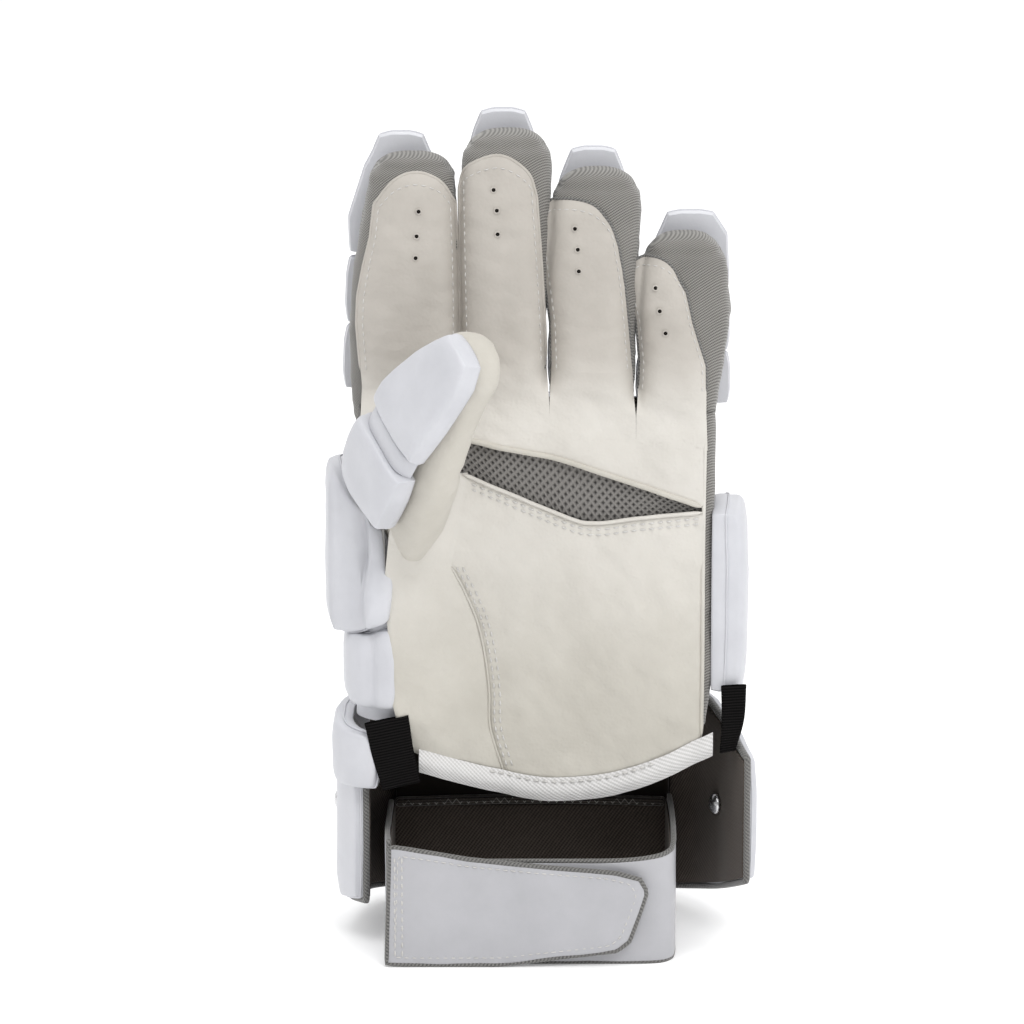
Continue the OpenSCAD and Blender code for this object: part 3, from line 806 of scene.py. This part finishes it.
EDGE_X, HEM_X = 63.0, 62.5
PALM_TOP = 203.6
WALL_BACK_Y = 31.0
PALM_FOOT = [(-58, 86), (-47, 79), (-20, 70), (2, 65.5), (25, 67), (45, 73), (66, 84)]
MESH_LOW = [(-30, 190), (-27, 188.5), (-10, 181), (13, 171.3), (20.5, 170), (28, 170.5), (38, 172), (66, 174.8)]
MESH_HIGH = [(-30, 203.5), (-21, 201.6), (8.5, 195.2), (32, 187.3), (56.5, 178.8), (66, 176.2)]


def line(points):
    t = curve(np.array(points, float), 80)
    return lambda x: float(np.interp(x, t[:, 0], t[:, 1]))


foot_line, mesh_low, mesh_high = line(PALM_FOOT), line(MESH_LOW), line(MESH_HIGH)


def palm_panel(name, left, right, low, high, material, n=70, m=70, back=0.0, roll=1.0, sewn_to=400.0):
    """A leather panel on the palm between two side lines x(z) and two end lines z(x); its rim rolls inward."""
    rows = []
    for v in np.linspace(0, 1, n):
        row = []
        for u in np.linspace(0, 1, m):
            x, z = 0.0, 130.0
            for _ in range(8):
                x = left(z) * (1 - u) + right(z) * u
                z = low(x) * (1 - v) + high(x) * v
            ends, sides = min(v, 1 - v) * n / 2.0, min(u, 1 - u) * m / 2.0
            side_share = 1 - smooth((z - sewn_to) / 5)
            tuck = roll * max((1 - min(ends, 1)) ** 2, side_share * (1 - min(sides, 1)) ** 2)
            row.append((x, palm_at(x, z) + back + tuck, z))
        rows.append(row)
    return grid(name, rows, material, flip=True)


def on_palm(points, lift=0.0):
    p = curve(points, 60)
    return np.array([(x, palm_at(x, z) - lift, z) for x, z in p])


def shifted(points, dx, dz):
    return [(x + dx, z + dz) for x, z in points]


lower = palm_panel("palm_lower_leather", seam_x, lambda z: EDGE_X, foot_line,
                   lambda x: min(mesh_low(x), 189.0), PALM, n=86, sewn_to=150.0)
upper = palm_panel("palm_upper_leather", lambda z: -33.0, lambda z: EDGE_X, mesh_high, lambda x: PALM_TOP, PALM, n=16,
                   roll=0.0)
far = palm_panel("palm_corner", lambda z: -69.5, lambda z: -32.5, lambda x: 196.0 + 6 * hump(x, -33, 8),
                 lambda x: PALM_TOP, PALM, n=8, m=26, roll=0.0, back=1.0)
upper = join("palm_upper_leather", [upper, far])
insert = palm_panel("palm_mesh_insert", lambda z: -45.0, lambda z: EDGE_X + 0.5, lambda x: mesh_low(x) - 3,
                    lambda x: mesh_high(x) + 3, NET, n=24, back=1.7, roll=0.0)
THENAR_EDGE = np.array([(66, -48), (80, -52), (100, -57), (132, -59), (150, -60), (170, -58), (192, -52)])  # z, x
thenar = palm_panel("thumb_base_leather", lambda z: np.interp(z, *THENAR_EDGE.T), lambda z: seam_x(z) + 0.15,
                    foot_line, lambda x: 190.0, PALM, n=80, m=46, sewn_to=150.0)
hems = [tube("mesh_top_hem", on_palm([p for p in MESH_HIGH if p[0] < 62] + [(62.6, 176.6)], lift=0.1), 1.15, THUMB),
        tube("mesh_foot_hem", on_palm([p for p in MESH_LOW if p[0] < 62] + [(62.6, 174.4)], lift=0.0), 0.8, PALM)]
rows_of_thread = []
for gap in (2.4, 4.6):
    rows_of_thread.append(stitches(on_palm(shifted(MESH_LOW[1:-1] + [(62, 174.4)], 0, -gap), lift=0.05)))
    rows_of_thread.append(stitches(on_palm(shifted(SEAM[2:-1].tolist(), gap - 0.4, 0), lift=0.05)))
rows_of_thread.append(stitches(on_palm([p for p in shifted(PALM_FOOT[2:], 0, 1.4) if p[0] < 62], lift=1.9)))
piping = curve([(63.0, 84), (63.2, 110), (63.2, 150), (63.3, 180), (63.6, 205)], 50)
piping = tube("palm_side_piping", [(x, palm_at(HEM_X, z) + 0.75, z) for x, z in piping], 0.8, PALM)
seam_bead = tube("thumb_seam_bead", on_palm(SEAM[2:].tolist(), lift=-0.3), 0.5, PALM)
for o, node_name in ((lower, "palm_lower"), (upper, "palm_upper"), (insert, "palm_mesh"),
                     (thenar, "thumb_base_panel")):
    settle(o, "hand", [node_name])
    cloth(o, 90)
thread = join("palm_stitching", rows_of_thread)
settle(thread, "hand")
settle(join("palm_piping", [piping, seam_bead] + hems), "hand")

# Binding along the palm's wrist edge, ribbed across
binding_rows = []
for f in np.linspace(0, 1, 9):
    path = curve(PALM_FOOT[1:-1] + [(61, 80.5), (67.5, 83.5)], 96)
    swell = math.sin(math.pi * f)
    binding_rows.append([(x, palm_at(x, z) - 0.6 - 1.9 * swell + wobble((x, f * 9, z), 6, 0.35), z + 2.8 - 9.6 * f)
                         for x, z in path])
binding = grid("wrist_binding_band", binding_rows, BINDING)
settle(binding, "hand", ["wrist_binding"])
cloth(binding, 10)

# Side walls between the palm and the back of the hand
wall = []
for z in np.linspace(88, 213, 60):
    row = []
    for f in np.linspace(0, 1, 22):
        turn = smooth(f / 0.22)
        bulge = (4.6 * turn - 2.4 * max(f - 0.3, 0)) * (0.35 + 0.65 * smooth((z - 88) / 24))
        y = palm_at(HEM_X, z) + 1.2 + 2.5 * turn + (WALL_BACK_Y - PALM_Y) * max(f - 0.12, 0) / 0.88
        row.append((EDGE_X - 0.6 + 0.9 * turn + bulge + wobble((0, f * 40, z), 9, 0.6), y, z))
    wall.append(row)
wall = grid("hand_side_mesh", wall, TWILL)
lay_weave(wall)
inner_wall = []
wall_foot = table_of([(82, -50, -53), (100, -56.5, -58), (150, -59.5, -64.5), (180, -60, -66), (196, -69, -67),
                      (216, -69.5, -68)])
for z in np.linspace(84, 216, 60):
    a, b = wall_foot(z)
    share = smooth((z - 176) / 20)
    start = palm_at(a, z) * (1 - share) + (PALM_Y + 1) * share + 1
    inner_wall.append([(a + (b - a) * f - 1.5 * math.sin(math.pi * f), start + (WALL_BACK_Y - start) * f, z)
                       for f in np.linspace(0, 1, 22)])
wall = join("hand_side_mesh", [wall, grid("w", inner_wall, TWILL)])
settle(wall, "hand", ["hand_side_gussets"])
cloth(wall, 34)

# Lining behind the hand
lining_rows = []
outline = table_of([(78, -50, 64), (128, -64, 64), (212, -66, 64)])
for z in np.linspace(79, 212, 60):
    a, b = outline(z)
    lining_rows.append([(x, LINER_Y + 0.8 + wobble((x, 0, z), 20, 0.6), z) for x in np.linspace(a, b, 50)])
lining = grid("backhand_lining_cloth", lining_rows, LINING)
settle(lining, "hand", ["backhand_lining"])
cloth(lining, 120)

# ---------------------------------------------------------------- thumb

TURN = np.array(Matrix.Rotation(math.radians(121.3), 3, "Z") @ Matrix.Rotation(math.radians(-36), 3, "Y")
                @ Matrix.Rotation(math.radians(12.4), 3, "X"))
THUMB_AT = np.array([-49.5, PALM_Y - 29, 212.0])
THUMB_FRONT, THUMB_BACK = -14.9, 3.3
THUMB_BEND = math.radians(-15.5)
THUMB_LENGTH, THUMB_DOME = 52.0, 36.0


def thumb_point(x, y, z, bent=None):
    """A point of the thumb's own frame, +Z to its tip and +Y out of its pads; below the middle break it is bent."""
    if bent is None:
        bent = z <= 0
    if bent:
        c, s = math.cos(THUMB_BEND), math.sin(THUMB_BEND)
        yy = y - THUMB_FRONT
        y, z = THUMB_FRONT + yy * c - z * s, yy * s + z * c
    return TURN @ np.array([x, y, z]) + THUMB_AT


def thumb_out(bent):
    c, s = math.cos(THUMB_BEND), math.sin(THUMB_BEND)
    return TURN @ (np.array([0, c, s]) if bent else np.array([0, 1.0, 0]))


def thumb_half(z):
    return 15.5 - min(max(z, 0), THUMB_LENGTH) / THUMB_LENGTH


def thumb_tube(name, zs, capped):
    rows = []
    around = circle(52)
    for z in zs:
        rise = min(max((z - THUMB_DOME) / (THUMB_LENGTH - 2.5 - THUMB_DOME), 0), 1)
        scale = max(1 - rise**2.2, 0.0006) ** 0.45
        hx = (thumb_half(z) - 0.4) * scale
        hy = (THUMB_BACK - THUMB_FRONT) / 2 * (0.35 + 0.65 * scale) * min(1, scale * 3)
        yc = (THUMB_BACK + THUMB_FRONT) / 2
        row = []
        for a in around:
            c, s = math.cos(a), math.sin(a)
            r = (abs(c)**2.7 + abs(s)**2.7) ** (-1 / 2.7)
            k = wobble((c * 14, s * 9, z), 8, 0.8, 3.0) + 0.5 * math.sin(z * 0.55 + 2 * c) * hump(z, 2, 9)
            palm_side = 9.5 * smooth((THUMB_DOME - z) / 46) if c < 0 else 0.0
            front = 5.0 * smooth((20 - z) / 40) * (1 - 1.9 * smooth((-24 - z) / 36)) if s < 0 else 0.0
            at = thumb_point(c * (r * (hx + palm_side) + k), yc + s * (r * (hy + front) + k), z)
            row.append(at + [0, 15.0 * smooth((-30 - z) / 30), 0])
        rows.append(row)
    return grid(name, rows, THUMB, wrap=True, caps=(False, capped))


def thumb_pad(part, left, right, z_bent, height, seed):
    """A pad on the thumb between two edges of [x, z] in the thumb's frame."""
    left, right = resample(left, 16), resample(right, 16)
    at = between(left, right)
    out = thumb_out(z_bent)

    def base(u, v):
        x, z = at(u, v)
        return thumb_point(x, THUMB_BACK + 0.6, z, z_bent), out
    cushion(f"thumb_{part}_cover", f"thumb_{part}_pad", "thumb_" + part, 0.75, base, height, n=30, m=34, seed=seed,
            rough=0.7, corner=0.045, p=4.4, wall=0.52, welt=False)


root = thumb_tube("thumb_root_leather", np.linspace(-60, -20, 26), False)
end = thumb_tube("thumb_end_leather", domed(-20, THUMB_DOME, 49.4, 44), True)
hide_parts("thumb_middle_sleeve")
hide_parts("thumb_tip_sleeve")
for o, a, b, z0, z1 in ((root, "hand", "thumb_middle", -47, -33), (end, "thumb_middle", "thumb_tip", -7, 7)):
    bending(o,
            90)
thumb_pad("middle", [(-16.5, -31), (-18.2, -14), (-18.6, -0.9)], [(15.5, -33), (19.5, -18), (18.5, -0.9)], True,
          10.3, 11.0)
thumb_pad("tip", [(-18.0, 1.0), (-18.2, 22), (-17.6, 42), (-13.5, 51.8)],
          [(17.5, 1.0), (17.2, 12), (11.5, 33), (3.5, 51.8)], False, 9.3, 12.0)
pleat = []
for a in np.linspace(-math.pi, math.pi, 18):
    swell = 6.5 * (0.5 + 0.5 * math.cos(a))
    pleat.append([thumb_point(x, THUMB_BACK + 1.5 + swell * (1 - (x / 17.5) ** 6), 4.2 * a / math.pi, a < 0)
                  for x in np.linspace(-17, 17, 36)])
pleat = grid("thumb_break_pleat", pleat, WHITE)
bending(pleat,
        30)


def thumb_roll(name, node_name, outer, height, low, high, dent, seed):
    """A padded roll round the outside of the thumb's root; outer is its plan line and the pad grows out to it."""
    path = curve(outer, 40)
    base = wall_base(path + plan_normal(path) * height, low, high, out=-1)
    cushion(name, node_name, "hand", 0.8, base, height, n=40, m=46, seed=seed, rough=0.6, dent=dent, corner=0.07,
            p=4.4)


def upper_shape(u, v):
    """The front of the roll is a narrow raised block, with a valley between it and the outer crown."""
    valley = 0.62 * hump(u, -0.52, 0.19) * smooth((u + 0.71) / 0.07) * (1 - 0.5 * max(v, 0) ** 2)
    end = 0.5 * smooth((v - 0.12) / 0.12) * (1 - smooth((u + 0.62) / 0.12))
    return valley + end


thumb_roll("thumb_upper_roll", "thumb_base_pad_upper",
           [(-56.3, -18), (-65, -19), (-75.5, -14), (-82.5, -3), (-82.5, 10), (-76, 21), (-65, 27)], 10.0,
           lambda u: 132.9 - 5.5 * smooth(u / 0.3), lambda u: 170.5 + 23 * smooth((u - 0.06) / 0.42),
           upper_shape, 21.0)
thumb_roll("thumb_lower_roll", "thumb_base_pad_lower",
           [(-55, -16), (-63, -16), (-72, -10), (-76, 2), (-73.5, 13), (-63, 21)], 9.0,
           lambda u: 97.0 + 3 * u, lambda u: 132.7 - 5.5 * smooth(u / 0.3),
           lambda u, v: 0.3 * hump(u, -0.62, 0.1), 22.0)

# The cloth that both rolls are sewn to, seen between and below them
backing = curve([(-53, -11), (-60, -11.5), (-66.5, -8), (-71, -1), (-71, 7), (-68, 14)], 60)
backing = grid("thumb_roll_backing", [[(x, y, z) for x, y in backing] for z in np.linspace(92.5, 150, 34)], WHITE,
               flip=True)
bending(backing, 60)

# ---------------------------------------------------------------- back of the hand


def back_pad(name, node_name, left, right, grooves, height, seed):
    """A wide pad on the back of the hand; grooves are the sewn channels along it, from 0 to 1 up the pad."""
    left, right = resample(left, 14), resample(right, 14)
    cushion(name, node_name, "hand", 0.8, flat_base(left, right, BACK_Y, 1), height, WHITE_BACK, n=44, m=60, p=5.0,
            corner=0.06, seed=seed, dome=0.2, rough=0.5,
            dent=lambda u, v: sum(0.42 * hump((v + 1) / 2, g, 0.025) for g in grooves))


back_pad("backhand_upper_pad", "backhand_pad_upper", [(-62, 144.5), (-62.5, 179.5)], [(64, 144.5), (64.5, 179.5)],
         [0.5], 12.7, 31)
back_pad("backhand_lower_pad", "backhand_pad_lower", [(-54, 103), (-60, 142.5)], [(63.5, 103), (64, 142.5)],
         [0.5], 12.7, 32)
back_pad("knuckle_roll_pad", "knuckle_roll", [(-69, 184), (-70, 214.5)], [(66, 182.5), (66.5, 209)], [], 9.7, 33)

cushion("palm_side_roll", "side_roll", "hand", 0.8,
        wall_base([(66.5, -3), (67.5, 8), (68.0, 20), (67, 30)], lambda u: 99.5, lambda u: 176.0), 12.6,
        n=40, m=30, seed=34, rough=0.6, corner=0.08, p=4.2)

# Elastic straps from the palm's wrist corners to the cuff
elastics = []
for left, right, y in (([(-68, 93), (-65, 80), (-61, 66)], [(-51.0, 96.5), (-49, 83), (-46.4, 69.5)], -16.2),
                       ([(70.5, 105), (70.8, 92), (70.2, 78)], [(80.4, 105.5), (79.6, 92), (76.4, 79)], -5.4)):
    left, right = curve(left, 40), curve(right, 40)
    for dy in (0.0, 1.5):
        rows = []
        for k in range(40):
            v = k / 39
            row = []
            for u in np.linspace(0, 1, 22):
                x, z = left[k] * (1 - u) + right[k] * u
                edge = min(u, 1 - u, 0.08) / 0.08
                row.append((x, y - 1.6 * math.sin(math.pi * v) - 0.7 * edge * (dy == 0) + dy * (0.5 + 0.5 * edge)
                            + wobble((x, dy, z), 8, 0.3), z))
            rows.append(row)
        elastics.append(grid("e", rows, WEBBING, flip=dy == 0))
elastic = join("elastic_bands", elastics)
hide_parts("elastic_straps")
bending(elastic, 30)

# ---------------------------------------------------------------- cuff

BAND_POINTS = 90


def band(name, path, low, high, thick, material, offset=0.0, wave=0.0):
    """An upright strip of thickness thick along a plan path of [x, y] points, with rounded long edges."""
    path = curve(path, BAND_POINTS)
    r = thick / 2
    rows = []
    for k, (p, nrm) in enumerate(zip(path, plan_normal(path))):
        s = k / (BAND_POINTS - 1)
        z0, z1 = low(s) + r, high(s) - r
        section = [(r * math.cos(a), z1 + r * math.sin(a)) for a in np.linspace(0, math.pi, 7)]
        section += [(-r, z) for z in np.linspace(z1, z0, 16)[1:-1]]
        section += [(r * math.cos(a), z0 + r * math.sin(a)) for a in np.linspace(math.pi, 2 * math.pi, 7)]
        section += [(r, z) for z in np.linspace(z0, z1, 16)[1:-1]]
        rows.append([(*(p + nrm * (o + offset + wobble((*p, z), 14, wave, 2.0))), z) for o, z in section])
    return grid(name, rows, material, wrap=True, caps=(True, True))


def edge_of(path, low, high, offset=0.0):
    """A line round the rim of a band, for its binding."""
    path = curve(path, BAND_POINTS)
    q = path + plan_normal(path) * offset
    s = np.linspace(0, 1, BAND_POINTS)
    up = [(x, y, high(k)) for (x, y), k in zip(q, s)]
    down = [(x, y, low(k)) for (x, y), k in zip(q[::-1], s[::-1])]
    return loop_of(up + down, 260)


cushion("cuff_back_pad", "cuff_back", "cuff", 0.7,
        flat_base([(-56, 0.8), (-56, 99)], [(50, 0.8), (50, 99)], CUFF_Y, 1), 6.2, WHITE_BACK,
        n=50, m=56, p=5.0, corner=0.05, dome=0.17, seed=41, rough=0.5, wall=0.6,
        dent=lambda u, v: 0.35 * (hump(v, 0.55, 0.04) + hump(v, -0.5, 0.04)))
knit = pad("cuff_knit_lining", flat_base([(52.2, 6.5), (52.2, 86)], [(-57.6, 6.5), (-57.6, 86)], CUFF_Y - 2.5, -1),
           10.6, KNIT, n=40, m=46, p=6, corner=0.05, seed=42, rough=0.9)
settle(knit, "cuff", ["cuff_lining"])

LEFT_WING = [(-58, 53), (-66.5, 40), (-72.5, 22), (-73.5, 8), (-67.5, -8)]
RIGHT_WING = [(52.5, 50.5), (64, 38), (71, 22), (76, 4), (80.5, -11)]
for name, path, out, height, low, high, dent in (
        ("left", LEFT_WING, 1, 5.6, lambda s: 6.5 + 12 * s, lambda s: 94.5 - 2 * s - 9 * s**3,
         lambda u, v: 0.55 * hump(v, 0.28, 0.05)),
        ("right", RIGHT_WING, -1, 5.2, lambda s: 6.5 + 21 * s**1.3, lambda s: 94.5 - 17.5 * s, lambda u, v: 0)):
    cushion(f"cuff_wing_{name}_cover", f"cuff_wing_{name}", "cuff", 0.7, wall_base(path, low, high, out), height,
            n=44, m=46, p=6.5, corner=0.05, seed=43, rough=0.5, dent=dent)
    inside = band(f"cuff_wing_{name}_lining", path, lambda s: low(s) + 1.4, lambda s: high(s) - 1.4, 1.0, LINING,
                  offset=-0.8 * out, wave=0.4)
    settle(inside, "cuff")
    cloth(inside, 80)
    trim = tube(f"cuff_wing_{name}_trim", edge_of(path, low, high, offset=0.4 * out), 1.35, GREY_EDGE, closed=True)
    settle(trim, "cuff")


cushion("cuff_wing_left_roll", None, "cuff", 0.7,
        wall_base([(-67, 30), (-72, 14), (-73, 2), (-70, -7), (-61, -12)], lambda s: 66.0, lambda s: 94.8 - 7 * s),
        7.5, n=34, m=40, p=4.5, corner=0.08, seed=44, rough=0.6)


def dome_of(r, rise):
    """A turned rivet head: rounded cap over a short rim."""
    cap = [(r * math.sin(a), rise * math.cos(a)) for a in np.linspace(0, math.pi / 2, 10)]
    return cap + [(r, -0.5), (r * 0.9, -0.9)]


def turned(name, at, direction, profile, material):
    d = unit(direction)
    side = unit(np.cross(d, [0, 0, 1.0]))
    up = np.cross(side, d)
    rows = [[np.array(at) + d * h + r * (math.cos(a) * side + math.sin(a) * up)
             for a in circle(32)] for r, h in profile]
    return grid(name, rows, material, wrap=True, caps=(True, True))


rivet_lo, rivet_hi = cad("cuff_rivets")
heads = []
for at, turn, reach in (((-74.0, 25.0), -12, 4.7), ((74.4, 20.0), 15, 4.9)):
    z = (rivet_lo[2] + rivet_hi[2]) / 2
    d = np.array([math.cos(math.radians(turn)), math.sin(math.radians(turn)), 0])
    for way, face in ((-1, reach), (1, 3.1)):
        heads.append(turned("r", np.array([*at, z]) + d * way * face, d * way, dome_of(4.3, 2.6), METAL))
settle(join("cuff_rivet_heads", heads), "cuff", ["cuff_rivets"])

# ---------------------------------------------------------------- strap

Y0 = STRAP_FRONT_Y + 1
LEFT_STRAP = [(-59, STRAP_BACK_Y), (-59.4, 20), (-59.6, 0), (-59.2, -18), (-58.6, Y0 + 0.2)]
RIGHT_STRAP = [(52, STRAP_BACK_Y), (52.4, 20), (52.4, 0), (52, -18), (50, -26), (43, Y0 + 0.3), (20, Y0), (-30, Y0)]
for name, path, inward, high in (
        ("strap_left", LEFT_STRAP, -0.9, lambda s: 44.5 + 5 * s * s),
        ("strap_right", RIGHT_STRAP, 0.9, lambda s: 41.5 + 5.5 * math.exp(-(s / 0.48) ** 6))):
    outer = band(name + "_band", path, lambda s: 0.6, high, 2.0, SHADED_WHITE_STRAP, wave=0.25)
    settle(outer, "cuff", [name])
    cloth(outer, 44)
    inner = band(name + "_lining", path, lambda s: 2.0, lambda s: high(s) - 1.6, 0.6, LINING, offset=inward * 1.5)
    settle(inner, "cuff")
    cloth(inner, 42)
    trim = tube(name + "_trim", edge_of(path, lambda s: 0.6, high), 1.05, GREY_EDGE, closed=True)
    settle(trim, "cuff")

# Liner behind the wrist, with a zigzag-sewn bead along its top edge
liner = band("wrist_liner_cloth", [(52, STRAP_BACK_Y + 1), (0, STRAP_BACK_Y + 1.2), (-59, STRAP_BACK_Y + 1)],
             lambda s: 0.6, lambda s: 43.0, 1.5, LINING, wave=0.3)
settle(liner, "cuff", ["wrist_liner"])
cloth(liner, 43)


def bead_z(x):
    return 44.4 + 1.0 * math.cos(x / 30.0)


bead = tube("wrist_bead_core", [(x, STRAP_BACK_Y + 0.6 + 0.25 * wobble((x, 0, 0), 10, 1), bead_z(x))
                                for x in np.linspace(-58, 51, 120)], 2.0, BEAD)
zigzag = [(x, STRAP_BACK_Y - 1.35 + 0.5 * (k % 2), bead_z(x) + (0.9 if k % 2 else -0.9))
          for k, x in enumerate(np.arange(-57, 50, 1.6))]
settle(join("wrist_bead", [bead, tube("z", zigzag, 0.28, THREAD_GREY, sides=6)]), "cuff")

# The tab that lies over the strap's front, with hook fabric under it and loop fabric below that
TAB = [(-59.4, 1.4), (-53.8, 1.0), (-16, 1.0), (30.2, 6.6), (34.8, 10.6), (39.4, 24), (41.4, 30.5), (38.7, 35.4),
       (29.4, 38.0), (1.5, 40.4), (-28, 43.6), (-51, 47.6), (-58, 48.6)]
tab_y = cad("strap_tab")[0][1]
rim = loop_of(TAB, 120)
centre = rim.mean(0)
TAB_SECTION = ((0.02, 2.1), (0.96, 2.1), (1.0, 1.6), (1.0, 0.6), (0.985, 0.1), (0.95, -0.05), (0.8, -0.2),
               (0.6, -0.3), (0.35, -0.35), (0.15, -0.4), (0.02, -0.4))  # share of the outline, height over tab_y
rows = [[(x, tab_y + dy + wobble((a * f, 0, b * f), 15, 0.35), z)
         for (a, b), (x, z) in zip(rim, centre + (rim - centre) * f)] for f, dy in TAB_SECTION]
tab = grid("strap_tab_cover", rows, SHADED_WHITE_STRAP, wrap=True, caps=(True, True), flip=True)
tab_edge = tube("tab_edge", [(x, tab_y + 0.9, z) for x, z in rim], 1.05, GREY_EDGE, closed=True)
sewn = [stitches([(-53.4, tab_y - 0.15, z) for z in np.linspace(4, 45, 20)]),
        stitches([(-56.2, tab_y - 0.15, z) for z in np.linspace(4, 45, 20)]),
        stitches([(centre[0] + (x - centre[0]) * 0.93, tab_y - 0.1, centre[1] + (z - centre[1]) * 0.87)
                       for x, z in np.vstack([rim, rim[:1]])], pitch=3.0, length=2.0, r=0.28)]
tab = join("strap_tab_cover", [tab, tab_edge] + sewn)
settle(tab, "strap_tab", ["strap_tab"])
cloth(tab, 44)


def patch(name, node_name, body):
    """A pile patch: a thin block with rounded corners; its sewn border is not drawn."""
    lo, hi = cad(node_name)
    x0, x1, z0, z1 = lo[0] + 1, min(hi[0] - 1, 30), lo[2] + 1, hi[2] - 1
    rim = curve([(x0, z0), ((x0 + x1) / 2, z0 - 0.6), (x1, z0), (x1 + 0.6, (z0 + z1) / 2), (x1, z1),
                 ((x0 + x1) / 2, z1 + 0.6), (x0, z1), (x0 - 0.6, (z0 + z1) / 2)], 80, closed=True)
    c = rim.mean(0)
    rows = [[(c[0] + (x - c[0]) * f, y, c[1] + (z - c[1]) * f) for x, z in rim]
            for f, y in ((0.02, hi[1]), (1, hi[1]), (1, lo[1] + 0.2), (0.96, lo[1]), (0.5, lo[1]), (0.02, lo[1]))]
    o = grid(name, rows, HOOK, wrap=True, flip=True)
    settle(o, body, [node_name])
    cloth(o, 22)


patch("loop_fabric", "loop_patch", "cuff")
patch("hook_fabric", "hook_patch", "strap_tab")

# Moulded sheets inside the padding keep the CAD shape
for name in ("backhand_plate", "cuff_insert", "thumb_guard"):
    o = frame["nodes"][name]
    for k in range(len(o.material_slots)):
        o.material_slots[k].material = PLASTIC
